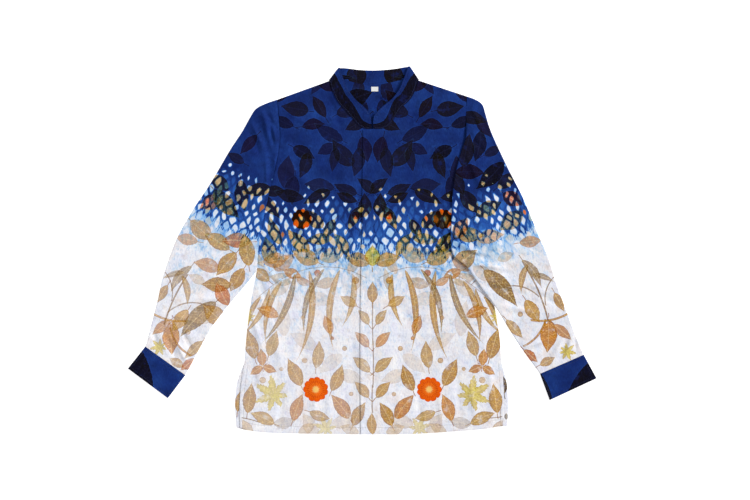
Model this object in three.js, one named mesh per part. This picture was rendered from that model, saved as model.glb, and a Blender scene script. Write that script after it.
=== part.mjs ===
// A long-sleeved shirt with a stand collar and a fly front, laid flat with its front up.
// Millimetres. +X is towards the wearer's left, +Y towards the neck, +Z up; the cloth rests on Z = 0.
// Plan points are measured from the centre front at the hem; the finished group is moved so that
// its origin is the bottom centre of its bounding box.
import * as THREE from "three";

// Cloth and layers.
const WALL = 1.2; // a single thickness of cloth
const STIFF_WALL = 1.6; // interfaced cloth of the collar and cuffs
const SEAM = 0.35; // gap between two pieces that are sewn edge to edge
const ARMHOLE_SEAM = 0.7; // the same gap along the curved armhole
const COLLAR_LAP = 2; // how far the neckline of each front runs on under the collar
const LAYER = 0.5; // gap between two pieces that lie on each other
const BODY_AIR = 1.5; // air between front and back, away from the edges
const SLEEVE_AIR = 1.9; // air inside a flattened sleeve
const CUFF_AIR = 0.9; // air inside a flattened cuff
const ARMPIT = 353; // height of the armpits above the hem
const SIDE_ROLL = 38; // width over which the front comes down to its side seam
const SHOULDER_ROLL = 26; // width over which the front comes down to the shoulder
const FLY_OVERLAP = 20; // how far each front runs past the centre
const FLY_EASE = 46; // width over which the upper front settles back beside the fly
const SLEEVE_DROP = 34; // width over which the sleeve comes down off the body's edge
const SLEEVE_SHELF = 12; // how far past the body's edge the sleeve stays level
const SLEEVE_LIFT_SHARE = 0.06; // share of the sleeve over which it climbs onto the body

// Grid sizes.
const PANEL_ROWS = 32;
const PANEL_COLUMNS = 14;
const BACK_ROWS = 32;
const BACK_COLUMNS = 16;
const SLEEVE_ROWS = 25;
const SLEEVE_COLUMNS = 10;
const CUFF_ROWS = 3;
const CUFF_COLUMNS = 6;
const COLLAR_ROWS = 4;
const TURN_STEPS = 6;
const COLLAR_STEPS = 16;

// Plan outlines. Each side of the body runs from the hem to the shoulder tip.
const SIDES = {
  left: {
    vent: [[283, 18], [284, 60], [281, 120], [278, 152]],
    backVent: [[290, 17], [292, 60], [289, 108], [278, 152]],
    seam: [[278, 152], [273, 211], [264, 265], [255, 318], [248, ARMPIT]],
    armhole: [[248, ARMPIT], [245, 400], [237, 450], [223, 514], [207, 585], [199, 640], [203, 726]],
  },
  right: {
    vent: [[-285, 14], [-286, 60], [-282, 112], [-276, 152]],
    backVent: [[-293, 13], [-296, 60], [-291, 112], [-276, 152]],
    seam: [[-276, 152], [-271, 211], [-265, 262], [-256, 316], [-248, ARMPIT]],
    armhole: [[-248, ARMPIT], [-245, 400], [-237, 450], [-223, 514], [-208, 578], [-199, 636], [-205, 719]],
  },
};
const HEMS = {
  back: [[-293, 13], [-263, 7], [-203, 4], [-91, 2], [-5, 1], [81, 2], [154, 6], [231, 12], [290, 17]],
  left: [[-25, -1], [81, 0], [154, 4], [231, 10], [283, 18]],
  right: [[20, -1], [-5, -1], [-91, 0], [-203, 2], [-255, 6], [-285, 14]],
};

// The stand collar from the centre front to the fold at the neck point: where its seam and its top
// edge lie in plan, and how high the middle of the top edge stands.
const COLLAR = {
  left: [
    { neck: [1.5, 657], top: [2, 677], rise: 8.4 },
    { neck: [12, 656], top: [4, 684], rise: 9 },
    { neck: [25, 658], top: [8, 690], rise: 9.6 },
    { neck: [36, 664], top: [15, 697], rise: 10.2 },
    { neck: [46, 677], top: [24, 705], rise: 10.8 },
    { neck: [60, 700], top: [42, 720], rise: 11.2 },
    { neck: [76, 714], top: [52, 732], rise: 10.8 },
    { neck: [87, 729], top: [60, 745], rise: 9.8 },
    { neck: [94, 747], top: [68, 765], rise: 8.2 },
    { neck: [98, 761], top: [77, 790], rise: 6.4 },
  ],
  right: [
    { neck: [-1.5, 657], top: [-3, 676], rise: 7.8 },
    { neck: [-10, 656], top: [-5, 684], rise: 8.6 },
    { neck: [-22, 659], top: [-9, 692], rise: 9.4 },
    { neck: [-32, 666], top: [-15, 699], rise: 10.2 },
    { neck: [-42, 678], top: [-23, 707], rise: 10.8 },
    { neck: [-55, 693], top: [-36, 718], rise: 11.2 },
    { neck: [-72, 711], top: [-49, 735], rise: 10.6 },
    { neck: [-82, 729], top: [-57, 751], rise: 9.2 },
    { neck: [-89, 746], top: [-64, 768], rise: 7.8 },
    { neck: [-92, 760], top: [-70, 787], rise: 6.4 },
  ],
};
// The back of the collar, from the wearer's left to right.
const COLLAR_BACK = [
  { neck: [84, 762], top: [66, 788.5] },
  { neck: [59, 761], top: [52, 786] },
  { neck: [33, 755], top: [30, 783.5] },
  { neck: [3, 750], top: [3, 782] },
  { neck: [-28, 754], top: [-26, 783] },
  { neck: [-54, 760], top: [-47, 785.5] },
  { neck: [-78, 761], top: [-60, 787] },
];

// Sleeve outlines, from the armhole to the cuff seam.
const SLEEVES = {
  left: {
    outer: [
      [203, 726], [221, 719], [236, 708], [243, 688], [250, 664], [261, 636], [291, 572],
      [324, 507], [356, 430], [379, 378], [399, 314], [433, 224], [454, 170.5],
    ],
    inner: [
      [201, 682], [200.5, 640], [192, 612], [183, 581], [175, 544], [171, 503], [169, 449], [168, 410],
      [176, 381], [200, 362], [223, 330], [242, 303], [270, 264], [311, 198], [360, 129.5],
    ],
  },
  right: {
    outer: [
      [-205, 719], [-226, 712], [-250, 700], [-263, 681], [-281, 649], [-306, 611], [-349, 538],
      [-386, 482], [-422, 417], [-450, 340], [-463, 284], [-488, 188],
    ],
    inner: [[-248, ARMPIT], [-268, 326], [-300, 288], [-341, 236], [-371, 185], [-402, 126.5]],
  },
};

// Cuffs: the ends of the seam that joins the sleeve, then the ends of the open edge.
const CUFFS = {
  left: {
    seamOuter: [454.4, 170.3],
    seamInner: [360.4, 129.3],
    endInner: [381, 73],
    endOuter: [482, 120],
  },
  right: {
    seamOuter: [-488.7, 188],
    seamInner: [-402.7, 126.5],
    endInner: [-440, 77],
    endOuter: [-526, 141],
  },
};

// Soft folds in the upper cloth: a ridge where height is positive, a trough where it is negative.
const BODY_FOLDS = [
  { from: [-238, 430], to: [-120, 330], width: 15, height: 0.9 },
  { from: [-244, 385], to: [-150, 250], width: 14, height: -0.8 },
  { from: [-250, 330], to: [-190, 150], width: 16, height: 0.8 },
  { from: [-160, 330], to: [-135, 60], width: 18, height: -0.6 },
  { from: [-70, 300], to: [-80, 30], width: 16, height: 0.6 },
  { from: [160, 520], to: [110, 380], width: 15, height: -0.7 },
  { from: [175, 400], to: [95, 260], width: 16, height: 0.9 },
  { from: [235, 300], to: [160, 180], width: 14, height: -0.8 },
  { from: [262, 240], to: [215, 60], width: 14, height: 0.8 },
  { from: [120, 210], to: [100, 20], width: 18, height: -0.6 },
  { from: [60, 640], to: [150, 560], width: 16, height: 0.7 },
  { from: [-60, 640], to: [-150, 570], width: 16, height: 0.7 },
];
const SLEEVE_FOLDS = {
  left: [
    { from: [206, 664], to: [240, 694], width: 8, height: -1.2 },
    { from: [203, 640], to: [268, 560], width: 13, height: 1.4 },
    { from: [188, 570], to: [280, 455], width: 14, height: -1 },
    { from: [176, 440], to: [310, 385], width: 14, height: 1.4 },
    { from: [215, 362], to: [345, 335], width: 12, height: -1 },
    { from: [300, 235], to: [390, 275], width: 12, height: 1.2 },
    { from: [345, 175], to: [415, 225], width: 10, height: -1 },
  ],
  right: [
    { from: [-256, 684], to: [-222, 616], width: 8, height: -1.4 },
    { from: [-240, 700], to: [-206, 636], width: 7, height: 1.6 },
    { from: [-222, 646], to: [-219, 530], width: 8, height: -1.3 },
    { from: [-232, 620], to: [-310, 535], width: 13, height: 1.4 },
    { from: [-246, 480], to: [-350, 425], width: 14, height: -1 },
    { from: [-262, 375], to: [-380, 372], width: 13, height: 1.4 },
    { from: [-300, 298], to: [-420, 318], width: 12, height: -1 },
    { from: [-370, 200], to: [-450, 250], width: 11, height: 1.2 },
  ],
};

const LABEL = { centre: [5, 742], size: [15, 10], thickness: 1 };

const COLOURS = { indigo: 0x1c3685, pale: 0xe6e1dc, inside: 0x14264f, white: 0xf4f4f2 };

const { clamp, lerp, smoothstep } = THREE.MathUtils;
const point = ([x, y]) => new THREE.Vector2(x, y);

// A plan curve made of stretches, each with its share of the whole curve and the points it runs through.
function boundary(...stretches) {
  const curves = stretches.map(([, through]) => new THREE.SplineCurve(through.map(point)));
  return (share) => {
    let start = 0;
    let at = 0;
    while (at < stretches.length - 1 && share > start + stretches[at][0]) start += stretches[at++][0];
    return curves[at].getPointAt(clamp((share - start) / stretches[at][0], 0, 1));
  };
}

// The patch between four plan curves: start and end run across, from and to run along.
function patch({ start, end, from, to }) {
  const corners = [start(0), start(1), end(0), end(1)];
  return (across, along) => {
    const blend = (axis) =>
      lerp(start(across)[axis], end(across)[axis], along) +
      lerp(from(along)[axis], to(along)[axis], across) -
      lerp(
        lerp(corners[0][axis], corners[1][axis], across),
        lerp(corners[2][axis], corners[3][axis], across),
        along,
      );
    return new THREE.Vector2(blend("x"), blend("y"));
  };
}

// A closed solid between two grids of points. A round grid joins its last column to its first.
function wallBetween(outer, inner, round = false) {
  const rows = outer.length;
  const columns = outer[0].length;
  const positions = [...outer.flat(), ...inner.flat()].flatMap((p) => [p.x, p.y, p.z]);
  const index = [];
  const at = (side, row, column) => (side * rows + row) * columns + (column % columns);
  const quad = (a, b, c, d) => index.push(a, b, c, a, c, d);
  const lastColumn = round ? columns : columns - 1;
  for (let column = 0; column < lastColumn; column++) {
    const next = column + 1;
    for (let row = 0; row < rows - 1; row++) {
      quad(at(0, row, column), at(0, row, next), at(0, row + 1, next), at(0, row + 1, column));
      quad(at(1, row, column), at(1, row + 1, column), at(1, row + 1, next), at(1, row, next));
    }
    quad(at(0, 0, column), at(1, 0, column), at(1, 0, next), at(0, 0, next));
    quad(at(0, rows - 1, column), at(0, rows - 1, next), at(1, rows - 1, next), at(1, rows - 1, column));
  }
  for (let row = 0; row < rows - 1 && !round; row++) {
    const above = row + 1;
    const last = lastColumn;
    quad(at(0, row, 0), at(0, above, 0), at(1, above, 0), at(1, row, 0));
    quad(at(0, row, last), at(1, row, last), at(1, above, last), at(0, above, last));
  }
  return facingOut(positions, index);
}

// A geometry from positions and triangles, with the triangles turned round if they face in.
function facingOut(positions, index) {
  const corner = (i) => new THREE.Vector3().fromArray(positions, index[i] * 3);
  let volume = 0;
  for (let i = 0; i < index.length; i += 3) volume += corner(i).dot(corner(i + 1).cross(corner(i + 2)));
  if (volume < 0) index.reverse();
  const geometry = new THREE.BufferGeometry();
  geometry.setAttribute("position", new THREE.Float32BufferAttribute(positions, 3));
  geometry.setIndex(index);
  geometry.computeVertexNormals();
  return geometry;
}

// Shares from 0 to 1, evenly spaced or closer together towards both ends.
const even = (steps) => Array.from({ length: steps + 1 }, (_, i) => i / steps);
const crowded = (steps) => even(steps).map((share) => (1 - Math.cos(Math.PI * share)) / 2);

// The height that a list of soft folds adds at a plan point.
function foldHeight(folds, x, y) {
  return folds.reduce((sum, { from, to, width, height }) => {
    const line = new THREE.Vector2(to[0] - from[0], to[1] - from[1]);
    const offset = new THREE.Vector2(x - from[0], y - from[1]);
    const along = clamp(offset.dot(line) / line.lengthSq(), 0, 1);
    const away = offset.addScaledVector(line, -along).length();
    return sum + height * Math.sin(Math.PI * along) * Math.exp(-((away / width) ** 2));
  }, 0);
}

// Half-width of the body at a height: how far its side seam or armhole lies from the centre.
function sideReach(side, y) {
  const outline = [...side.vent, ...side.seam.slice(1), ...side.armhole.slice(1)];
  const above = outline.findIndex((p, i) => i > 0 && p[1] >= y);
  if (above < 0) return Math.abs(outline.at(-1)[0]);
  const [low, high] = [outline[above - 1], outline[above]];
  return Math.abs(lerp(low[0], high[0], clamp((y - low[1]) / (high[1] - low[1]), 0, 1)));
}

// How far a plan point lies below the shoulder seam.
function belowShoulder(side, x, y) {
  const tip = side.armhole.at(-1);
  const { neck } = COLLAR.left.at(-1);
  const inwards = clamp((Math.abs(tip[0]) - Math.abs(x)) / (Math.abs(tip[0]) - neck[0]), 0, 1);
  return lerp(tip[1], neck[1], inwards) - y;
}

// Height of the front's underside: the back, the air between and the folds.
function frontUnderside(side, x, y) {
  const fromSide = sideReach(side, y) - Math.abs(x);
  const below = belowShoulder(side, x, y);
  const filled = Math.max(smoothstep(fromSide, 0, SIDE_ROLL), smoothstep(y, ARMPIT - 30, ARMPIT));
  const air = BODY_AIR * filled * smoothstep(below, -2, SHOULDER_ROLL);
  const calm = smoothstep(fromSide, 4, SIDE_ROLL) * smoothstep(below, 6, 2 * SHOULDER_ROLL);
  return WALL + LAYER + Math.max(0, air + calm * foldHeight(BODY_FOLDS, x, y));
}

// How much the left front is raised by the right front under it, at a distance from the centre.
const overFly = (x) => (WALL + LAYER) * (1 - smoothstep(x, FLY_OVERLAP + 8, FLY_OVERLAP + FLY_EASE));

// A front panel. Its centre edge rises to the neckline, and its outer edge is the side and armhole.
function frontPanel(side, hem, centreEdge, lift) {
  const outer = boundary([0.2, side.vent], [0.3, side.seam], [0.5, side.armhole]);
  const plan = patch({
    start: boundary([1, hem]),
    end: (u) => new THREE.Vector2().lerpVectors(centreEdge(1), outer(1), u),
    from: centreEdge,
    to: outer,
  });
  const grid = (raise) =>
    even(PANEL_ROWS).map((v) =>
      crowded(PANEL_COLUMNS).map((u) => {
        const p = plan(u, v);
        return new THREE.Vector3(p.x, p.y, frontUnderside(side, p.x, p.y) + lift(p.x) + raise);
      }),
    );
  return wallBetween(grid(WALL), grid(0));
}

// The neckline of a front. It runs on under the collar, and clears its ends.
const neckline = (stations) =>
  stations.map(({ neck, top }, i) => {
    const atEnd = i === 0 || i >= stations.length - 2;
    const away = point(neck).sub(point(top)).normalize();
    return point(neck).addScaledVector(away, atEnd ? SEAM + STIFF_WALL / 2 : -COLLAR_LAP).toArray();
  });

function frontLeft() {
  const fly = [HEMS.left[0], [-26, 200], [-23, 430], [-FLY_OVERLAP, 655]];
  const edge = boundary([0.66, fly], [0.34, [fly.at(-1), [-1, 655], ...neckline(COLLAR.left)]]);
  return frontPanel(SIDES.left, HEMS.left, edge, overFly);
}

function frontRight() {
  const underlap = [HEMS.right[0], [FLY_OVERLAP, 654.5]];
  const edge = boundary([0.68, underlap], [0.32, [underlap.at(-1), ...neckline(COLLAR.right)]]);
  return frontPanel(SIDES.right, HEMS.right, edge, () => 0);
}

// The back lies flat under both fronts and shows inside the neck and at the vents.
function back() {
  const backNeck = COLLAR_BACK.map(({ neck }) => [neck[0], neck[1] - 2 * SEAM]).reverse();
  const { left, right } = SIDES;
  const top = boundary(
    [0.25, [right.armhole.at(-1), backNeck[0]]],
    [0.5, backNeck],
    [0.25, [backNeck.at(-1), left.armhole.at(-1)]],
  );
  const edge = (side) => boundary([0.2, side.backVent], [0.3, side.seam], [0.5, side.armhole]);
  const plan = patch({ start: boundary([1, HEMS.back]), end: top, from: edge(right), to: edge(left) });
  const grid = (z) =>
    even(BACK_ROWS).map((v) =>
      even(BACK_COLUMNS).map((u) => new THREE.Vector3(...plan(u, v).toArray(), z)),
    );
  return wallBetween(grid(WALL), grid(0));
}

// A flattened tube of cloth over a plan patch. Its rings roll round both edges; it rests on the
// height that support gives, and shape adds soft folds to its upper side.
function flatTube({ plan, rows, columns, wall, air, support, shape }) {
  const height = 2 * wall + air;
  const ring = (v, inset) => {
    const ends = [plan(0, v), plan(1, v)];
    const width = ends[0].distanceTo(ends[1]);
    const half = height / 2 - inset;
    const roll = height / 2;
    const spread = even(columns).map((share) => lerp(roll, width - roll, share));
    const distances = [0, roll * 0.3, ...spread, width - roll * 0.3, width];
    const placed = (distance, side) => {
      const inner = inset + (distance * (width - 2 * inset)) / width;
      const p = plan(inner / width, v);
      const edge = clamp(Math.min(distance, width - distance) / roll, 0, 1);
      const bow = Math.sqrt(1 - (1 - edge) ** 2);
      const raised = side > 0 ? shape(p.x, p.y) * edge : 0;
      const z = support(p.x, p.y, v) + height / 2 + side * bow * half + raised;
      return new THREE.Vector3(p.x, p.y, z);
    };
    const upper = distances.map((d) => placed(d, 1));
    const lower = distances.slice(1, -1).map((d) => placed(d, -1)).reverse();
    return [...upper, ...lower];
  };
  const rings = (inset) => even(rows).map((v) => ring(v, inset));
  return wallBetween(rings(0), rings(wall), true);
}

function sleeveRight() {
  const { outer, inner } = SLEEVES.right;
  const armhole = boundary([1, SIDES.right.armhole.toReversed()]);
  const plan = patch({
    start: (u) => armhole(u).add(new THREE.Vector2(-ARMHOLE_SEAM, 0)),
    end: (u) => point(outer.at(-1)).lerp(point(inner.at(-1)), u),
    from: (v) => boundary([1, outer])(v).add(new THREE.Vector2(-ARMHOLE_SEAM, 0)),
    to: (v) => boundary([1, inner])(v).add(new THREE.Vector2(-ARMHOLE_SEAM, 0)),
  });
  return flatTube({
    plan,
    rows: SLEEVE_ROWS,
    columns: SLEEVE_COLUMNS,
    wall: WALL,
    air: SLEEVE_AIR,
    support: () => 0,
    shape: (x, y) => foldHeight(SLEEVE_FOLDS.right, x, y),
  });
}

// The left sleeve is swung inwards, so its inner part lies on the front.
function sleeveLeft() {
  const { outer, inner } = SLEEVES.left;
  const outerEdge = boundary([1, outer]);
  const innerEdge = boundary([1, inner]);
  const outward = new THREE.Vector2(SEAM, 0);
  const plan = patch({
    start: (u) => point(outer[0]).lerp(point(inner[0]), u).add(outward),
    end: (u) => point(outer.at(-1)).lerp(point(inner.at(-1)), u).add(outward),
    from: (v) => outerEdge(v).add(outward),
    to: (v) => innerEdge(v).add(outward),
  });
  const support = (x, y, v) => {
    const past = x - sideReach(SIDES.left, y);
    const over = 1 - smoothstep(past, SLEEVE_SHELF, SLEEVE_SHELF + SLEEVE_DROP);
    const under = frontUnderside(SIDES.left, Math.min(x, x - past), y) + WALL + LAYER;
    return under * over * smoothstep(v, 0, SLEEVE_LIFT_SHARE);
  };
  return flatTube({
    plan,
    rows: SLEEVE_ROWS,
    columns: SLEEVE_COLUMNS,
    wall: WALL,
    air: SLEEVE_AIR,
    support,
    shape: (x, y) => foldHeight(SLEEVE_FOLDS.left, x, y),
  });
}

function cuff({ seamOuter, seamInner, endInner, endOuter }) {
  const along = point(endOuter).sub(point(seamOuter)).setLength(SEAM);
  const straight = (a, b) => (share) => point(a).lerp(point(b), share).add(along);
  return flatTube({
    plan: patch({
      start: straight(seamOuter, seamInner),
      end: straight(endOuter, endInner),
      from: straight(seamOuter, endOuter),
      to: straight(seamInner, endInner),
    }),
    rows: CUFF_ROWS,
    columns: CUFF_COLUMNS,
    wall: STIFF_WALL,
    air: CUFF_AIR,
    support: () => 0,
    shape: () => 0,
  });
}

// One half of the collar's front, as seam and top-edge points in space, from the centre outwards.
// Its seam rests on the front panel.
function collarFront(side, stations, lift) {
  const rest = WALL + SEAM + STIFF_WALL / 2;
  const seat = ([x, y]) => new THREE.Vector3(x, y, frontUnderside(side, x, y) + lift(x) + rest);
  const seam = new THREE.CatmullRomCurve3(stations.map(({ neck }) => seat(neck)));
  const edge = new THREE.CatmullRomCurve3(stations.map(({ top, rise }) => new THREE.Vector3(...top, rise)));
  return even(COLLAR_STEPS).map((share) => ({ neck: seam.getPoint(share), top: edge.getPoint(share) }));
}

// The turn at a neck point, where the collar's front folds over its back.
function collarTurn(fold, outward) {
  const rest = STIFF_WALL / 2;
  const turned = (p, angle) => {
    const radius = (p.z - rest) / 2;
    return new THREE.Vector3(
      p.x + outward * radius * Math.sin(angle),
      p.y,
      rest + radius * (1 + Math.cos(angle)),
    );
  };
  return even(TURN_STEPS).slice(1).map((share) => ({
    neck: turned(fold.neck, Math.PI * share),
    top: turned(fold.top, Math.PI * share),
  }));
}

// The collar is one band from centre front to centre front, swept from its seam to its top edge.
function collar() {
  const left = collarFront(SIDES.left, COLLAR.left, overFly);
  const right = collarFront(SIDES.right, COLLAR.right, () => 0);
  const flat = COLLAR_BACK.map(({ neck, top }) => ({
    neck: new THREE.Vector3(...neck, STIFF_WALL / 2),
    top: new THREE.Vector3(...top, STIFF_WALL / 2),
  }));
  const stations = [
    ...left,
    ...collarTurn(left.at(-1), 1),
    ...flat,
    ...collarTurn(right.at(-1), -1).reverse(),
    ...right.toReversed(),
  ];
  const band = stations.map(({ neck, top }) =>
    even(COLLAR_ROWS).map((share) => new THREE.Vector3().lerpVectors(neck, top, share)),
  );
  const normal = (row, column) => {
    const before = band[Math.max(row - 1, 0)][column];
    const after = band[Math.min(row + 1, band.length - 1)][column];
    const up = band[row].at(-1).clone().sub(band[row][0]);
    return after.clone().sub(before).cross(up).normalize();
  };
  const offset = (row, column, by) => band[row][column].clone().addScaledVector(normal(row, column), by);
  const grid = (by) => band.map((points, row) => points.map((_, column) => offset(row, column, by)));
  return wallBetween(grid(STIFF_WALL / 2), grid(-STIFF_WALL / 2));
}

function label() {
  const geometry = new THREE.BoxGeometry(...LABEL.size, LABEL.thickness);
  return geometry.translate(...LABEL.centre, WALL + SEAM + LABEL.thickness / 2);
}

function cloth(name, geometry, color, roughness = 0.85) {
  const mesh = new THREE.Mesh(geometry, new THREE.MeshStandardMaterial({ color, roughness, metalness: 0 }));
  mesh.name = name;
  return mesh;
}

const shirt = new THREE.Group();
shirt.add(
  cloth("back", back(), COLOURS.inside),
  cloth("front_left", frontLeft(), COLOURS.pale),
  cloth("front_right", frontRight(), COLOURS.pale),
  cloth("sleeve_left", sleeveLeft(), COLOURS.pale),
  cloth("sleeve_right", sleeveRight(), COLOURS.pale),
  cloth("cuff_left", cuff(CUFFS.left), COLOURS.indigo, 0.8),
  cloth("cuff_right", cuff(CUFFS.right), COLOURS.indigo, 0.8),
  cloth("collar", collar(), COLOURS.indigo, 0.8),
  cloth("neck_label", label(), COLOURS.white, 0.6),
);

const bounds = new THREE.Box3().setFromObject(shirt);
const middle = bounds.getCenter(new THREE.Vector3());
shirt.position.set(-middle.x, -middle.y, -bounds.min.z);

export default shirt;
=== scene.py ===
import bpy
import numpy as np
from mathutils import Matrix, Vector


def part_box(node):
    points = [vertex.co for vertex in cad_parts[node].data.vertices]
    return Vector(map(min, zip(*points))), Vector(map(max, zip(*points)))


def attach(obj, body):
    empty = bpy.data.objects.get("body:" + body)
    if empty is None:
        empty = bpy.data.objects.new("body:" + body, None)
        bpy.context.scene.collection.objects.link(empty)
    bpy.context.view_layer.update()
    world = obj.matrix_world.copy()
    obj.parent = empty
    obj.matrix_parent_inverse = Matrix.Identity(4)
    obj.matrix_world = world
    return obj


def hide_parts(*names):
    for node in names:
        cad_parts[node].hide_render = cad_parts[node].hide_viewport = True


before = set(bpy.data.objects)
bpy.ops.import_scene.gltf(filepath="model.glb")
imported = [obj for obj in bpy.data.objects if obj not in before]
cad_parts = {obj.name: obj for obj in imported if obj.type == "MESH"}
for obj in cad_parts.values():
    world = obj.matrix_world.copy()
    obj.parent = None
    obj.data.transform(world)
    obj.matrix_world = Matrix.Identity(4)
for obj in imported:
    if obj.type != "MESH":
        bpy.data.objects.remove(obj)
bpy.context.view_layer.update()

MM = 0.001
RNG = np.random.default_rng(20)

# ---------------------------------------------------------------- sizes
WALL = 1.2
STIFF_WALL = 1.6
SHELL = 0.8  # thickness of the modelled cloth
SEAM = 0.12
ARMHOLE_SEAM = 0.08
NECK_TUCK = 0.25  # how far the neck edges run into the collar's seam
COLLAR_LAP = 2.0
LAYER = 0.5
BODY_AIR = 1.5
SLEEVE_AIR = 1.9
CUFF_AIR = 0.9
ARMPIT = 353.0
SIDE_ROLL = 38.0
SHOULDER_ROLL = 26.0
FLY_OVERLAP = 20.0
FLY_EASE = 46.0
SLEEVE_DROP = 34.0
SLEEVE_SHELF = 12.0
SLEEVE_LIFT_SHARE = 0.06
GRID = 2.4  # spacing of the cloth's points
BACK_GRID = 3.3

BACK_SIZE = (586, 748)  # sizes that set how many points each piece gets
FRONT_SIZE = (308, 745)
SLEEVE_LENGTHS = {"left": 580, "right": 560}
CUFF_DEPTH = 58
HEM_FOLD = 14
VENT_FOLD = 8

# From the place of the tables to the CAD's, in which the label's place is known.
LABEL_CENTRE = (5.0, 742.0)
label_low, label_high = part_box("neck_label")
SHIFT = np.array([
    (label_low.x + label_high.x) / 2 / MM - LABEL_CENTRE[0],
    (label_low.y + label_high.y) / 2 / MM - LABEL_CENTRE[1],
    0.0,
])

SIDES = {
    "left": {
        "vent": [(283, 18), (284, 60), (281, 120), (278, 152)],
        "back_vent": [(290, 17), (292, 60), (289, 108), (278, 152)],
        "seam": [(278, 152), (273, 211), (264, 265), (255, 318), (248, ARMPIT)],
        "armhole": [
            (248, ARMPIT), (245, 400), (237, 450), (223, 514), (207, 585), (203, 620), (201.6, 645),
            (201.5, 660), (201.2, 680), (202.1, 704), (203, 726),
        ],
        # the back runs on under the sleeve, so that nothing shows between sleeve and front
        "back_armhole": [
            (248, ARMPIT), (245, 400), (237, 450), (223, 514), (220, 585), (224, 618), (225, 645),
            (221, 662), (212, 668), (205, 668.5), (201.3, 674), (202.1, 704), (203, 726),
        ],
    },
    "right": {
        "vent": [(-285, 14), (-286, 60), (-282, 112), (-276, 152)],
        "back_vent": [(-293, 13), (-296, 60), (-291, 112), (-276, 152)],
        "seam": [(-276, 152), (-271, 211), (-265, 262), (-256, 316), (-248, ARMPIT)],
        "armhole": [
            (-248, ARMPIT), (-245, 400), (-237, 450), (-223, 514), (-208, 578), (-199, 636), (-205, 719),
        ],
    },
}
HEMS = {
    "back": [(-293, 13), (-263, 7), (-203, 4), (-91, 2), (-5, 1), (81, 2), (154, 6), (231, 12), (290, 17)],
    "left": [(-25, -1), (81, 0), (154, 4), (231, 10), (283, 18)],
    "right": [(20, -1), (-5, -1), (-91, 0), (-203, 2), (-255, 6), (-285, 14)],
}
FLY = [HEMS["left"][0], (-26, 200), (-23, 430), (-FLY_OVERLAP, 655)]
UNDERLAP = [HEMS["right"][0], (FLY_OVERLAP, 654.5)]

# Collar stations from the centre front to the neck point: seam x, y, top edge x, y, rise.
COLLAR = {
    "left": [
        (1.5, 657, 2, 677, 8.4), (12, 656, 4, 684, 9), (25, 658, 8, 690, 9.6), (36, 664, 15, 697, 10.2),
        (46, 677, 24, 705, 10.8), (60, 700, 42, 720, 11.2), (76, 714, 52, 732, 10.8), (87, 729, 60, 745, 9.8),
        (94, 747, 68, 765, 8.2), (98, 761, 77, 790, 6.4),
    ],
    "right": [
        (-1.5, 657, -3, 676, 7.8), (-10, 656, -5, 684, 8.6), (-22, 659, -9, 692, 9.4),
        (-32, 666, -15, 699, 10.2), (-42, 678, -23, 707, 10.8), (-55, 693, -36, 718, 11.2),
        (-72, 711, -49, 735, 10.6), (-82, 729, -57, 751, 9.2), (-89, 746, -64, 768, 7.8),
        (-92, 760, -70, 787, 6.4),
    ],
}
# The back of the collar from the wearer's left to right: seam x, y, top edge x, y.
COLLAR_BACK = [
    (84, 762, 66, 788.5), (59, 761, 52, 786), (33, 755, 30, 783.5), (3, 750, 3, 782),
    (-28, 754, -26, 783), (-54, 760, -47, 785.5), (-78, 761, -60, 787),
]
SLEEVES = {
    "left": {
        "outer": [
            (203, 726), (221, 719), (236, 708), (243, 688), (250, 664), (261, 636), (291, 572),
            (324, 507), (356, 430), (379, 378), (399, 314), (433, 224), (454, 170.5),
        ],
        "inner": [
            (201, 682), (200.5, 640), (192, 612), (183, 581), (175, 544), (171, 503), (169, 449), (168, 410),
            (176, 381), (200, 362), (223, 330), (242, 303), (270, 264), (311, 198), (360, 129.5),
        ],
        "axis": (-0.311, 0.950), "band": (445.0, 318.0),
    },
    "right": {
        "outer": [
            (-205, 719), (-226, 712), (-250, 700), (-263, 681), (-281, 649), (-306, 611), (-349, 538),
            (-386, 482), (-422, 417), (-450, 340), (-463, 284), (-488, 188),
        ],
        "inner": [(-248, ARMPIT), (-268, 326), (-300, 288), (-341, 236), (-371, 185), (-402, 126.5)],
        "axis": (0.362, 0.932), "band": (430.0, 297.0),
    },
}
CUFFS = {
    "left": [(454.4, 170.3), (360.4, 129.3), (381, 73), (482, 120)],
    "right": [(-488.7, 188), (-402.7, 126.5), (-440, 77), (-526, 141)],
}
BODY_BAND = (522.0, 383.0)  # heights between which the net fades out

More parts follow.
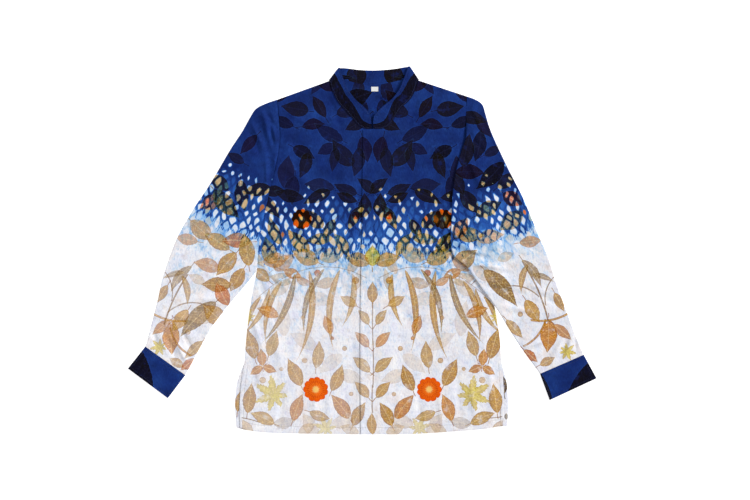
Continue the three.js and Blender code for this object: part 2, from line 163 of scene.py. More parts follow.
# Folds: from x, y, to x, y, width, height. The broad ones are in the solids too, the creases aren't.
BODY_FOLDS = [
    (-238, 430, -120, 330, 15, 0.9), (-244, 385, -150, 250, 14, -0.8), (-250, 330, -190, 150, 16, 0.8),
    (-160, 330, -135, 60, 18, -0.6), (-70, 300, -80, 30, 16, 0.6), (160, 520, 110, 380, 15, -0.7),
    (175, 400, 95, 260, 16, 0.9), (235, 300, 160, 180, 14, -0.8), (262, 240, 215, 60, 14, 0.8),
    (120, 210, 100, 20, 18, -0.6), (60, 640, 150, 560, 16, 0.7), (-60, 640, -150, 570, 16, 0.7),
]
BODY_CREASES = [
    (-238, 446, -160, 402, 5, 1.3), (-242, 418, -150, 366, 5, -1.2), (-246, 376, -172, 296, 5, 1.3),
    (-250, 346, -214, 246, 5, -1.1), (-252, 392, -196, 356, 4, 1.0), (-264, 270, -232, 170, 6, 1.1),
    (-274, 190, -240, 60, 7, -1.0), (-216, 250, -190, 110, 8, 0.8), (-120, 130, -128, 4, 7, 0.9),
    (-150, 220, -156, 60, 9, -0.7), (-190, 100, -204, 4, 6, -0.9), (-60, 100, -54, 2, 7, -0.8),
    (-96, 90, -90, 2, 7, 0.8), (60, 110, 52, 2, 7, 0.9), (96, 120, 104, 2, 7, -0.8),
    (140, 120, 150, 5, 6, 0.8), (180, 160, 190, 10, 8, -0.7), (206, 130, 226, 12, 7, 1.0),
    (262, 240, 240, 120, 6, -1.0), (248, 160, 262, 30, 6, 1.0), (-198, 700, -120, 655, 7, 1.0),
    (-196, 640, -110, 600, 8, -0.9), (-205, 590, -120, 520, 8, 0.9), (-214, 530, -150, 470, 7, -0.8),
    (150, 700, 96, 650, 7, 1.0), (190, 690, 120, 620, 8, -1.0), (196, 600, 130, 540, 8, 0.9),
    (184, 520, 120, 470, 8, -0.8), (-100, 738, -60, 640, 7, -0.9), (105, 738, 70, 640, 7, -0.9),
    (-130, 745, -100, 660, 7, 0.8), (136, 745, 110, 670, 7, 0.8), (-150, 500, -60, 440, 10, 0.7),
    (40, 470, 130, 420, 10, 0.7), (30, 320, 90, 230, 10, -0.7), (-90, 380, -40, 250, 10, -0.7),
    (18, 570, 24, 300, 8, 0.7), (-38, 560, -42, 260, 7, 0.8), (0, 300, 6, 30, 9, -0.6),
    (-44, 240, -40, 20, 8, -0.7), (20, 640, 60, 560, 8, 0.8), (-30, 640, -70, 560, 8, -0.7),
    (-186, 690, -178, 560, 9, 0.8), (-168, 650, -160, 520, 8, -0.7), (180, 640, 190, 540, 8, 0.8),
    (166, 600, 150, 480, 9, -0.8), (216, 470, 190, 400, 7, 0.9), (-60, 620, -56, 500, 10, 0.5),
]
BODY_FOLD_GAIN, BODY_CREASE_GAIN = 1.4, 2.0
SLEEVE_FOLD_GAIN, SLEEVE_CREASE_GAIN, SLEEVE_RIPPLE_GAIN = 1.7, 2.1, 0.8
SLEEVE_SINK = -2.2  # the deepest that a sleeve's top layer dips
SLEEVE_FOLDS = {
    "left": [
        (206, 664, 240, 694, 8, -1.2), (203, 640, 268, 560, 13, 1.4), (188, 570, 280, 455, 14, -1.0),
        (176, 440, 310, 385, 14, 1.4), (215, 362, 345, 335, 12, -1.0), (300, 235, 390, 275, 12, 1.2),
        (345, 175, 415, 225, 10, -1.0),
    ],
    "right": [
        (-256, 684, -222, 616, 8, -1.4), (-240, 700, -206, 636, 7, 1.6), (-222, 646, -219, 530, 8, -1.3),
        (-232, 620, -310, 535, 13, 1.4), (-246, 480, -350, 425, 14, -1.0), (-262, 375, -380, 372, 13, 1.4),
        (-300, 298, -420, 318, 12, -1.0), (-370, 200, -450, 250, 11, 1.2),
    ],
}
SLEEVE_CREASES = {
    "left": [
        (212, 706, 240, 640, 5, 1.5), (204, 650, 250, 590, 5, -1.6), (198, 612, 236, 520, 6, 1.4),
        (184, 560, 216, 470, 6, -1.3), (178, 500, 250, 440, 6, 1.2), (172, 420, 240, 380, 6, 1.4),
        (178, 396, 270, 372, 5, -1.6), (196, 370, 300, 352, 5, 1.5), (236, 318, 330, 300, 6, -1.2),
        (268, 276, 360, 262, 6, 1.2), (330, 330, 376, 300, 7, 1.0), (300, 420, 360, 392, 7, -1.0),
        (262, 560, 300, 520, 7, 1.0), (250, 640, 292, 590, 6, -1.1), (322, 186, 396, 206, 5, 1.2),
        (340, 210, 400, 250, 6, -1.0), (352, 146, 400, 196, 5, -1.3), (380, 150, 412, 206, 5, 1.2),
        (398, 156, 424, 214, 5, -1.1), (414, 162, 432, 220, 5, 1.0), (434, 172, 444, 220, 5, -1.0),
        (360, 300, 412, 270, 6, -0.9), (280, 480, 340, 430, 7, 0.9),
    ],
    "right": [
        (-262, 674, -230, 606, 4, 1.6), (-270, 660, -238, 590, 5, -1.6), (-234, 702, -204, 650, 4, -1.7),
        (-238, 700, -214, 600, 5, 1.5), (-226, 690, -206, 600, 4, -1.5), (-210, 600, -206, 500, 4, 1.4),
        (-214, 690, -207, 590, 4, 1.2), (-229, 612, -226, 500, 4, 1.3), (-246, 560, -300, 500, 6, -1.2),
        (-236, 560, -262, 470, 5, 1.0), (-250, 430, -334, 396, 6, 1.4), (-252, 404, -324, 352, 5, -1.7),
        (-262, 354, -356, 330, 5, 1.6), (-276, 322, -340, 300, 5, -1.3), (-300, 296, -380, 286, 6, 1.2),
        (-340, 470, -396, 450, 7, 1.1), (-300, 556, -346, 500, 7, 1.0), (-360, 420, -424, 390, 6, -1.1),
        (-340, 262, -420, 268, 6, -1.0), (-360, 236, -434, 256, 6, 1.1), (-384, 170, -412, 226, 5, -1.3),
        (-398, 150, -428, 214, 5, 1.3), (-420, 156, -444, 214, 5, -1.2), (-440, 168, -458, 222, 5, 1.1),
        (-462, 182, -474, 230, 5, -1.0), (-420, 330, -452, 300, 6, 0.9),
    ],
}


# ---------------------------------------------------------------- curves and heights
def mix(a, b, t):
    return a + (b - a) * t


def smooth(x, low, high):
    t = np.clip((x - low) / (high - low), 0, 1)
    return t * t * (3 - 2 * t)


def catmull_rom(p, t):
    """Points of the curve through p, with t counted in points of p."""
    n = len(p)
    i = np.minimum(t.astype(int), n - 2)
    w = (t - i)[:, None]
    a, b, c, d = p[np.maximum(i - 1, 0)], p[i], p[i + 1], p[np.minimum(i + 2, n - 1)]
    va, vb = (c - a) / 2, (d - b) / 2
    return (2 * b - 2 * c + va + vb) * w**3 + (-3 * b + 3 * c - 2 * va - vb) * w**2 + va * w + b


def run_of(line):
    """The length of a line from its start to each of its points."""
    return np.concatenate([[0], np.cumsum(np.linalg.norm(np.diff(line, axis=0), axis=1))])


def spline(points, samples=60):
    """Smooth curve through points, read by its share of length."""
    p = np.array(points, float)
    line = catmull_rom(p, np.linspace(0, len(p) - 1, samples * (len(p) - 1) + 1))
    along = run_of(line)
    along /= along[-1]
    return lambda s: np.stack(
        [np.interp(np.clip(s, 0, 1), along, line[:, k]) for k in range(p.shape[1])], -1
    )


def boundary(*stretches):
    """One edge made of several curves, each with its share of the whole."""
    curves = [(share, spline(points)) for share, points in stretches]

    def at(s):
        s = np.asarray(s, float)
        out = np.zeros(s.shape + (2,))
        start = 0.0
        for k, (share, curve) in enumerate(curves):
            here = s >= start if k else np.ones(s.shape, bool)
            out[here] = curve((s[here] - start) / share)
            start += share
        return out

    return at


def patch(start, end, left, right):
    """Points of the patch between four curves, at arrays of shares across and along."""
    c00, c10, c01, c11 = (curve(np.array(share)) for curve in (start, end) for share in (0.0, 1.0))

    def at(u, v):
        uu, vv = u[..., None], v[..., None]
        return (
            mix(start(u), end(u), vv) + mix(left(v), right(v), uu)
            - mix(mix(c00, c10, uu), mix(c01, c11, uu), vv)
        )

    return at


def zero(x, *_):
    return np.zeros(np.shape(x))


def fold_height(folds, x, y):
    total = np.zeros(np.shape(x))
    for x0, y0, x1, y1, width, height in folds:
        dx, dy = x1 - x0, y1 - y0
        along = np.clip(((x - x0) * dx + (y - y0) * dy) / (dx * dx + dy * dy), 0, 1)
        away = np.hypot(x - x0 - along * dx, y - y0 - along * dy)
        total += height * np.sin(np.pi * along) * np.exp(-((away / width) ** 2))
    return total


LATTICE = RNG.random((257, 257))


def noise(x, y, scale, seed=0):
    """Smooth value noise from -1 to 1."""
    a, b = x / scale + 17.3 * seed + 60, y / scale + 31.7 * seed + 60
    i, j = np.floor(a).astype(int), np.floor(b).astype(int)
    s, t = a - i, b - j
    s, t = s * s * (3 - 2 * s), t * t * (3 - 2 * t)
    i, j = i % 256, j % 256
    low = mix(LATTICE[i, j], LATTICE[i + 1, j], s)
    high = mix(LATTICE[i, j + 1], LATTICE[i + 1, j + 1], s)
    return 2 * mix(low, high, t) - 1


def ripple(x, y, seed=0):
    """Slight unevenness on three scales."""
    broad, middle, small = noise(x, y, 64, seed), noise(x, y, 27, seed + 3), noise(x, y, 12, seed + 5)
    return 0.5 * broad + 0.34 * middle + 0.15 * small


def side_reach(side, y):
    """How far a body panel reaches from the centre at a height."""
    line = np.array(side["vent"] + side["seam"][1:] + side["armhole"][1:], float)
    return np.interp(y, line[:, 1], np.abs(line[:, 0]))


def below_shoulder(side, x, y):
    """How far a point lies below the line from the shoulder's tip to the neck."""
    tip = side["armhole"][-1]
    neck = COLLAR["left"][-1]
    inwards = np.clip((abs(tip[0]) - np.abs(x)) / (abs(tip[0]) - neck[0]), 0, 1)
    return mix(tip[1], neck[1], inwards) - y


def front_underside(side, x, y, creased=True):
    """Height under a front: the back, the air between and the folds, or only the solid's folds."""
    from_side = side_reach(side, y) - np.abs(x)
    below = below_shoulder(side, x, y)
    filled = np.maximum(smooth(from_side, 0, SIDE_ROLL), smooth(y, ARMPIT - 30, ARMPIT))
    air = BODY_AIR * filled * smooth(below, -2, SHOULDER_ROLL)
    calm = smooth(from_side, 4, SIDE_ROLL) * smooth(below, 6, 2 * SHOULDER_ROLL)
    folds = fold_height(BODY_FOLDS, x, y)
    if not creased:
        return WALL + LAYER + np.maximum(0, air + calm * folds)
    fine = BODY_CREASE_GAIN * fold_height(BODY_CREASES, x, y) + ripple(x, y)
    fine = fine * smooth(from_side, -2, 14) * smooth(below, 2, 20)
    return WALL + LAYER + np.maximum(0, air + calm * (folds * BODY_FOLD_GAIN) + fine)


def over_fly(x):
    """The left front over the right one, with an edge that stands up a little."""
    curl = 0.6 * np.exp(-(((x + 24) / 5.0) ** 2))
    return (WALL + LAYER) * (1 - smooth(x, FLY_OVERLAP + 8, FLY_OVERLAP + FLY_EASE)) + curl


def front_top(side, x, y, lift):
    return front_underside(side, x, y) + lift(x) + WALL


# ---------------------------------------------------------------- meshes
class Cloth:
    """Points, faces and the plan place of every point, gathered before a mesh is made."""

    def __init__(self, name):
        self.name = name
        self.points, self.plan, self.uv, self.quads = [], [], [], []
        self.count = 0

    def grid(self, points, plan):
        """Adds a grid of points and gives their numbers."""
        rows, columns = points.shape[:2]
        self.points.append(points.reshape(-1, 3))
        self.plan.append(plan.reshape(-1, 2))
        numbers = np.arange(self.count, self.count + rows * columns).reshape(rows, columns)
        self.count += rows * columns
        return numbers

    def sheet(self, numbers, box, flip=False):
        """Faces over a grid of numbers, laid out in a box of the map: u0, v0, u1, v1."""
        quads = np.stack([numbers[:-1, :-1], numbers[:-1, 1:], numbers[1:, 1:], numbers[1:, :-1]], -1)
        rows, columns = numbers.shape
        u = np.linspace(box[0], box[2], columns)
        v = np.linspace(box[1], box[3], rows)
        uu, vv = np.meshgrid(u, v)
        place = np.stack([uu, vv], -1)
        corners = np.stack([place[:-1, :-1], place[:-1, 1:], place[1:, 1:], place[1:, :-1]], -2)
        quads, corners = quads.reshape(-1, 4), corners.reshape(-1, 4, 2)
        if flip:
            quads, corners = quads[:, ::-1], corners[:, ::-1]
        self.quads.append(quads)
        self.uv.append(corners)

    def arrays(self):
        return (
            np.concatenate(self.points), np.concatenate(self.plan),
            np.concatenate(self.quads), np.concatenate(self.uv),
        )


def signed_volume(points, quads):
    a, b, c, d = (points[quads[:, k]] for k in range(4))
    first, second = (np.einsum("ij,ij->i", a, np.cross(p, q)) for p, q in ((b, c), (c, d)))
    return (first + second).sum() / 6


def linked(name, data):
    """A new object in the scene."""
    obj = bpy.data.objects.new(name, data)
    bpy.context.scene.collection.objects.link(obj)
    return obj


def build(cloth, material, leaves=(), cut=None, sew=None):
    """Makes the object. cut gives the dye's coordinates, sew the nearest stitch line's."""
    points, plan, quads, uv = cloth.arrays()
    if signed_volume(points, quads) < 0:
        quads, uv = quads[:, ::-1], uv[:, ::-1]
    world = (points + SHIFT) * MM
    mesh = bpy.data.meshes.new(cloth.name)
    mesh.vertices.add(len(points))
    mesh.vertices.foreach_set("co", world.astype(np.float32).ravel())
    mesh.loops.add(quads.size)
    mesh.loops.foreach_set("vertex_index", quads.astype(np.int32).ravel())
    mesh.polygons.add(len(quads))
    mesh.polygons.foreach_set("loop_start", np.arange(0, quads.size, 4, dtype=np.int32))
    mesh.update(calc_edges=True)
    mesh.polygons.foreach_set("use_smooth", np.ones(len(quads), bool))
    layer = mesh.uv_layers.new(name="OFBake")
    layer.uv.foreach_set("vector", uv.astype(np.float32).ravel())
    if cut is not None:
        put(mesh, "cut", "POINT", cut(plan))
    if sew is not None:
        put(mesh, "sew", "POINT", sew(plan))
    lay_leaves(mesh, plan[quads], leaves)
    mesh.materials.append(material)
    obj = linked(cloth.name, mesh)
    return obj


def put(mesh, name, domain, values):
    attribute = mesh.attributes.new(name, "FLOAT_VECTOR", domain)
    attribute.data.foreach_set("vector", np.asarray(values, np.float32).ravel())


def spaced(length, grid=GRID, edge=(0.0, 0.5, 1.4)):
    """Shares from 0 to 1, a grid step apart, closer at both ends."""
    edge = np.array(edge)
    inside = np.linspace(edge[-1], length - edge[-1], max(int((length - 2 * edge[-1]) / grid), 2) + 1)
    return np.concatenate([edge[:-1], inside, length - edge[:-1][::-1]]) / length


def rim(numbers):
    """Numbers round the edge of a grid, back to the first."""
    return np.concatenate([numbers[0, :-1], numbers[:-1, -1], numbers[-1, :0:-1], numbers[::-1, 0]])


def panel(name, plan_at, size, top, material, leaves, cut, sew=None, bottom=None, share=0.66, grid=GRID):
    """A single thickness of cloth over a plan patch, with soft edges."""
    u, v = spaced(size[0], grid), spaced(size[1], grid)
    uu, vv = np.meshgrid(u, v)
    plan = plan_at(uu, vv)
    x, y = plan[..., 0], plan[..., 1]
    edge = np.minimum(np.minimum(uu, 1 - uu) * size[0], np.minimum(vv, 1 - vv) * size[1])
    soft = 0.3 * (1 - smooth(edge, 0, 1.4))
    high = top(x, y)
    low = high - SHELL if bottom is None else bottom(x, y)
    upper = np.stack([x, y, high - soft], -1)
    lower = np.stack([x, y, low + (soft * 0.6 if bottom is None else 0)], -1)
    cloth = Cloth(name)
    a = cloth.grid(upper, plan)
    b = cloth.grid(lower, plan)
    cloth.sheet(a, (0.002, 0.002, share, 0.998))
    cloth.sheet(b, (share + 0.02, 0.002, 0.998, 0.998), flip=True)
    cloth.sheet(np.stack([rim(b), rim(a)]).T, (share + 0.004, 0.002, share + 0.016, 0.998))
    return build(cloth, material, leaves, cut, sew)


def tube(name, plan_at, length, wall, air, support, shape, material, leaves, cut, sew=None, seam_dip=0.0):
    """A flattened tube of cloth that rolls round both edges, open at both ends."""
    height = 2 * wall + air
    roll = height / 2
    v = spaced(length)
    half_way = np.array([0.5])
    middle_width = np.linalg.norm(plan_at(np.ones(1), half_way) - plan_at(np.zeros(1), half_way))
    inner_count = max(int((middle_width - 2 * roll) / GRID), 6)
    ends_a, ends_b = plan_at(np.zeros(len(v)), v), plan_at(np.ones(len(v)), v)
    width = np.linalg.norm(ends_b - ends_a, axis=1)[:, None]
    flat = np.linspace(0, 1, inner_count + 1)[None, :]
    near = np.array([0.0, 0.06, 0.25, 0.58]) * roll
    distance = np.concatenate([
        np.broadcast_to(near, (len(v), len(near))),
        roll + flat * (width - 2 * roll),
        width - near[::-1],
    ], 1)
    from_edge = np.minimum(distance, width - distance)
    vv = np.broadcast_to(v[:, None], distance.shape)
    dip = seam_dip * np.exp(-((v[:, None] * length / 2.2) ** 2))

    def placed(inset, side):
        inner = inset + distance * (width - 2 * inset) / width
        plan = plan_at(inner / width, vv)
        x, y = plan[..., 0], plan[..., 1]
        bow = np.sqrt(1 - (1 - np.clip(from_edge / roll, 0, 1)) ** 2)
        z = support(x, y, vv) + height / 2 + side * bow * (height / 2 - inset)
        if side > 0:
            z = z + shape(x, y) * smooth(from_edge, 0.5, 9) - dip * bow
        return np.concatenate([plan, z[..., None]], -1), plan

    cloth = Cloth(name)
    rings = []
    for inset in (0.0, SHELL):
        up, up_plan = placed(inset, 1)
        down, down_plan = placed(inset, -1)
        upper = cloth.grid(up, up_plan)
        lower = cloth.grid(down[:, 1:-1], down_plan[:, 1:-1])
        rings.append((upper, np.concatenate([upper[:, :1], lower, upper[:, -1:]], 1)))
    (ou, ol), (iu, il) = rings
    cloth.sheet(ou, (0.002, 0.002, 0.44, 0.998))
    cloth.sheet(ol, (0.45, 0.002, 0.80, 0.998), flip=True)
    cloth.sheet(iu, (0.81, 0.002, 0.89, 0.998), flip=True)
    cloth.sheet(il, (0.90, 0.002, 0.98, 0.998))
    for row, low, turn in ((0, 0.002, False), (-1, 0.52, True)):
        outer = np.concatenate([ou[row], ol[row][-2::-1]])
        inner = np.concatenate([iu[row], il[row][-2::-1]])
        cloth.sheet(np.stack([inner, outer]).T, (0.985, low, 0.997, low + 0.47), flip=turn)
    return build(cloth, material, leaves, cut, sew)


# ---------------------------------------------------------------- print
# A kind below 1 is a plain leaf and says where the leaf is widest.
DISC, FLOWER, LOBED, STEM = 1.0, 2.0, 3.0, 4.0
LAYERS = 3  # prints that may lie on each other
NOWHERE = -9.0


def leaf_profile(u, kind):
    part = kind - np.floor(kind)
    u = np.clip(u, 0, 1)
    return np.sin(np.pi * u ** (0.62 + 0.5 * part)) ** (0.72 + 0.62 * u)


def lay_leaves(mesh, corner, leaves):
    """Writes, on each face, its places within the uppermost leaves there."""
    faces = len(corner)
    place = np.full((LAYERS, faces, 4, 3), NOWHERE, np.float32)
    look = np.zeros((LAYERS, faces, 4, 3), np.float32)
    place[..., 2] = 0
    used = np.zeros(faces, int)
    low, high = corner.min(1), corner.max(1)
    reach = np.linalg.norm(high - low, axis=1).mean()
    for number, row in enumerate(with_stalks(leaves)):
        x, y, angle, length, width, bend, kind, tone, strength = row
        tone = tone + 0.07 * (LATTICE[number % len(LATTICE), 7] - 0.5)
        size = length / 2 + abs(bend) + reach
        near = np.flatnonzero(
            (high[:, 0] > x - size) & (low[:, 0] < x + size) & (high[:, 1] > y - size)
            & (low[:, 1] < y + size) & (used < LAYERS)
        )
        if not len(near):
            continue
        turn = np.radians(angle)
        dx, dy = corner[near, :, 0] - x, corner[near, :, 1] - y
        along = dx * np.cos(turn) + dy * np.sin(turn)
        across = dy * np.cos(turn) - dx * np.sin(turn)
        across = across - bend * (1 - (2 * along / length) ** 2)
        u, v = along / length + 0.5, across / (width / 2)
        slack, slack_u = 0.75 * reach / (width / 2), 0.75 * reach / length
        if kind >= DISC:
            inside = (np.abs(v) < 1.05 + slack) & (np.abs(u - 0.5) < 0.53 + slack_u)
        else:
            inside = (np.abs(v) < leaf_profile(u, kind) + slack) & (np.abs(u - 0.5) < 0.5 + slack_u)
        hit = inside.any(1)
        near, u, v = near[hit], u[hit], v[hit]
        place[used[near], near] = np.stack([u, v, np.full_like(u, kind)], -1)
        look[used[near], near] = np.stack([
            np.full_like(u, tone), np.full_like(u, strength), np.full_like(u, width / 2)], -1)
        used[near] += 1
    for k in range(LAYERS):
        put(mesh, f"leaf{k}", "CORNER", place[k])
        put(mesh, f"tone{k}", "CORNER", look[k])


# Tones of the leaf prints; the last, near-black one is painted shade for the back's vent.
TAN, OCHRE, ORANGE_BROWN, RUST, VIVID, LIME, BEIGE, MAUVE, UMBER, PAINTED_VENT_SHADE = (
    0.05 + 0.1 * k for k in range(10))
STALK = 16.0


def away_from(x, y, angle, reach):
    """The point at a distance in a direction."""
    turn = np.radians(angle)
    return x + reach * np.cos(turn), y + reach * np.sin(turn)


def with_stalks(rows):
    """Adds a stalk at the base of every broad leaf."""
    out = list(rows)
    for x, y, angle, length, width, _, kind, tone, strength in rows:
        if kind < DISC and width > 17 and strength > 0.6:
            base = away_from(x, y, angle, -(length / 2 + STALK / 2 - 3))
            out.append((*base, angle, STALK, 1.7, 0.6, STEM, tone, strength))
    return out


def mirrored(rows):
    """Every row and its mirror image about the centre front."""
    out = []
    for x, y, angle, length, width, bend, kind, tone, strength in rows:
        out.append((x, y, angle, length, width, bend, kind, tone, strength))
        faded = 1.0 if x < 0 or kind == FLOWER else 0.84 if y < 340 else 0.93
        out.append((-x, y, 180 - angle, length, width, -bend, kind, tone, strength * faded))
    return out


def willow(arch, hanging):
    """A thin twig along an arch, with long narrow leaves that hang from it."""
    curve = spline(arch)
    rows = []
    for share, angle, length, width, bend, tone in hanging:
        place = away_from(*curve(np.array(share)), angle, length / 2 + 5)
        rows.append((*place, angle, length, width, bend, 0.2, tone, 0.92))
    shares = np.linspace(0, 1, 9)
    for a, b in zip(shares[:-1], shares[1:]):
        p, q = curve(np.array(a)), curve(np.array(b))
        d = q - p
        angle = np.degrees(np.arctan2(d[1], d[0]))
        rows.append((*((p + q) / 2), angle, np.hypot(*d) * 1.08, 2.0, 0, STEM, UMBER, 0.5))
    return rows


def trefoil(x, y, angle, size, tone):
    """Three short broad leaves from one point."""
    rows = []
    for turn, share in ((0, 1.0), (118, 0.86), (-118, 0.86)):
        way, length = angle + turn, size * share
        place = away_from(x, y, way, 0.52 * length)
        rows.append((*place, way, length, length * 0.56, 0, 0.5, tone, 0.95))
    return rows


def scattered(box, step, seed, tones, size, strength, inner):
    """Leaves on a loosely even scatter, kept off the centre front, and their mirror images."""
    rng = np.random.default_rng(seed)
    rows = []
    row = 0
    y = box[1]
    while y < box[3]:
        x = box[0] + (row % 2) * step / 2
        while x < box[2]:
            px, py = x + rng.uniform(-0.3, 0.3) * step, y + rng.uniform(-0.3, 0.3) * step
            length = rng.uniform(*size)
            rows.append((
                px, py, rng.uniform(0, 360), length, length * rng.uniform(0.38, 0.56), rng.uniform(-4, 4),
                rng.uniform(0.1, 0.7), tones[rng.integers(len(tones))], rng.uniform(*strength),
            ))
            x += step
        y += step * 0.87
        row += 1
    return mirrored([row for row in rows if row[0] > inner])


SPRIG_PRINT = mirrored([
    # x, y, angle, length, width, bend, kind, tone, strength
    (24, 96, 48, 46, 23, 2, 0.4, OCHRE, 0.9), (25, 150, 40, 50, 24, 2, 0.4, TAN, 0.9),
    (24, 204, 46, 46, 22, 2, 0.4, ORANGE_BROWN, 0.85), (20, 252, 54, 40, 19, 2, 0.4, TAN, 0.85),
]) + [
    (0, 306, 90, 46, 24, 0, 0.4, OCHRE, 0.85), (1, 240, 90, 96, 2.4, 1, STEM, UMBER, 0.7),
    (1, 150, 90, 100, 2.6, -1, STEM, UMBER, 0.7), (0, 76, 90, 60, 2.8, 1, STEM, UMBER, 0.7),
]
HEM_LEAVES = [
    (122, 96, 0, 54, 54, 0, FLOWER, VIVID, 1.0), (70, 60, 52, 66, 31, 2, 0.3, ORANGE_BROWN, 0.95),
    (28, 44, 118, 58, 27, -2, 0.35, OCHRE, 0.95), (76, 122, 112, 62, 28, 2, 0.4, OCHRE, 0.95),
    (168, 134, 64, 66, 31, 0, 0.35, OCHRE, 0.95), (160, 58, 110, 62, 29, -2, 0.45, ORANGE_BROWN, 0.95),
    (112, 40, 198, 48, 23, 2, 0.4, TAN, 0.9), (212, 84, 30, 92, 92, 0, LOBED, LIME, 0.95),
    (100, 12, 70, 56, 56, 0, LOBED, LIME, 0.7), (264, 78, 98, 66, 30, 0, 0.4, OCHRE, 0.95),
    (238, 34, 24, 58, 27, 2, 0.4, TAN, 0.95), (188, 26, 170, 50, 26, 2, 0.5, MAUVE, 0.5),
    (50, 10, 20, 44, 24, 0, 0.5, BEIGE, 0.6), (140, 12, 150, 44, 22, 0, 0.4, BEIGE, 0.6),
    (270, 14, 60, 42, 22, 0, 0.4, BEIGE, 0.7), (262, 196, 74, 70, 31, 0, 0.3, OCHRE, 0.95),
    (214, 196, 108, 58, 27, 0, 0.4, TAN, 0.9), (268, 250, 60, 44, 44, 0, LOBED, LIME, 0.9),
    (118, 172, 96, 60, 27, 2, 0.4, TAN, 0.9), (96, 236, 70, 44, 22, 0, 0.5, ORANGE_BROWN, 0.9),
    (226, 262, 20, 52, 26, 2, 0.5, ORANGE_BROWN, 0.95), (52, 286, 30, 42, 22, 0, 0.5, TAN, 0.85),
    (60, 184, 0, 12, 12, 0, DISC, BEIGE, 0.9), (146, 158, 0, 14, 14, 0, DISC, BEIGE, 0.9),
    (196, 140, 0, 10, 10, 0, DISC, BEIGE, 0.9), (46, 86, 0, 11, 11, 0, DISC, BEIGE, 0.8),
    (236, 116, 0, 16, 16, 0, DISC, BEIGE, 0.8), (150, 250, 0, 10, 10, 0, DISC, BEIGE, 0.8),
    (86, 206, 0, 9, 9, 0, DISC, ORANGE_BROWN, 0.8), (36, 330, 0, 17, 17, 0, DISC, OCHRE, 0.9),
]
HEM_FAINT = [
    (44, 124, 200, 60, 30, 2, 0.4, BEIGE, 0.35), (150, 200, 30, 70, 32, 2, 0.4, BEIGE, 0.3),
    (196, 250, 80, 80, 34, 2, 0.4, BEIGE, 0.3), (90, 150, 320, 64, 30, 2, 0.4, BEIGE, 0.28),
    (136, 20, 60, 60, 34, 2, 0.4, TAN, 0.4), (60, 30, 160, 60, 30, 2, 0.4, BEIGE, 0.4),
    (120, 290, 10, 70, 30, 2, 0.4, BEIGE, 0.3), (196, 318, 140, 60, 30, 2, 0.4, BEIGE, 0.4),
]
HEM_SINGLE = [
    # The three dark stems near the hem's corners are painted shadows of the hem's puckers; the ochre leaf at
    # the centre is print.
    (-262, 30, -14, 40, 2.2, 1, STEM, UMBER, 0.8), (262, 36, 4, 34, 2.2, -1, STEM, UMBER, 0.8),
    (276, 34, 92, 36, 2.0, 1, STEM, UMBER, 0.6), (0, 24, 92, 48, 22, 2, 0.4, OCHRE, 0.85),
]
HEM_PRINT = mirrored(HEM_LEAVES + trefoil(236, 146, 84, 38, ORANGE_BROWN) + HEM_FAINT) + HEM_SINGLE
WILLOW_PRINT = mirrored(willow(
    [(14, 336), (62, 356), (122, 358), (184, 340), (244, 296)],
    [
        (0.12, -78, 118, 14, -12, TAN), (0.24, -86, 176, 15, 16, OCHRE), (0.37, -74, 152, 14, 17, UMBER),
        (0.5, -82, 196, 15, -18, OCHRE), (0.62, -64, 168, 15, -15, UMBER), (0.75, -76, 140, 14, 14, OCHRE),
        (0.87, -58, 120, 13, -12, TAN), (0.97, -70, 92, 12, 9, OCHRE),
    ]))
BAND_TONES = [TAN, OCHRE, ORANGE_BROWN, OCHRE, TAN]
BAND_PRINT = mirrored([
    (34, 374, 14, 58, 32, 2, 0.45, OCHRE, 0.9), (84, 386, 160, 60, 34, 0, 0.5, BEIGE, 0.8),
    (146, 382, 24, 64, 36, 0, 0.4, OCHRE, 0.9), (206, 376, 168, 60, 34, 2, 0.5, ORANGE_BROWN, 0.8),
    (118, 346, 0, 17, 17, 0, DISC, RUST, 0.9), (170, 344, 200, 42, 23, 0, 0.4, ORANGE_BROWN, 0.9),
    (240, 344, 40, 46, 26, 0, 0.5, OCHRE, 0.9), (0, 384, 90, 46, 34, 0, 0.5, LIME, 0.9),
    (152, 462, 0, 44, 44, 0, FLOWER, VIVID, 1.0), (36, 470, 10, 20, 20, 0, DISC, VIVID, 1.0),
]) + scattered((8, 408, 240, 520), 54, 11, BAND_TONES, (48, 72), (0.9, 1.0), 4)
TOP_TONES = [TAN, OCHRE, ORANGE_BROWN, RUST, UMBER, MAUVE]
TOP_PRINT = scattered((10, 530, 232, 770), 50, 23, TOP_TONES, (46, 74), (0.7, 1.0), 6)
EDGE_TONES = [OCHRE, ORANGE_BROWN, BEIGE, OCHRE]
EDGE_PRINT = scattered((20, 322, 240, 392), 62, 5, EDGE_TONES, (40, 60), (0.45, 0.85), 10)
BODY_PRINT = HEM_PRINT + WILLOW_PRINT + SPRIG_PRINT + BAND_PRINT + TOP_PRINT + EDGE_PRINT


def along_sleeve(side, rows):
    """Rows given as a share across and the distance down the sleeve, placed in the plan."""
    sleeve = SLEEVES[side]
    up = np.array(sleeve["axis"])
    up /= np.linalg.norm(up)
    outer, inner = spline(sleeve["outer"]), spline(sleeve["inner"])
    turn = np.degrees(np.arctan2(-up[1], -up[0]))
    sign = 1 if side == "left" else -1
    placed = []
    for across, down, angle, length, width, bend, kind, tone, strength in rows:
        a, b = outer(np.array(down)), inner(np.array(down))
        centre = a + (b - a) * across
        placed.append((
            centre[0], centre[1], turn + sign * angle, length, width, sign * bend, kind, tone,
            strength * (0.86 if side == "right" and down > 0.5 else 1.0)))
    return placed


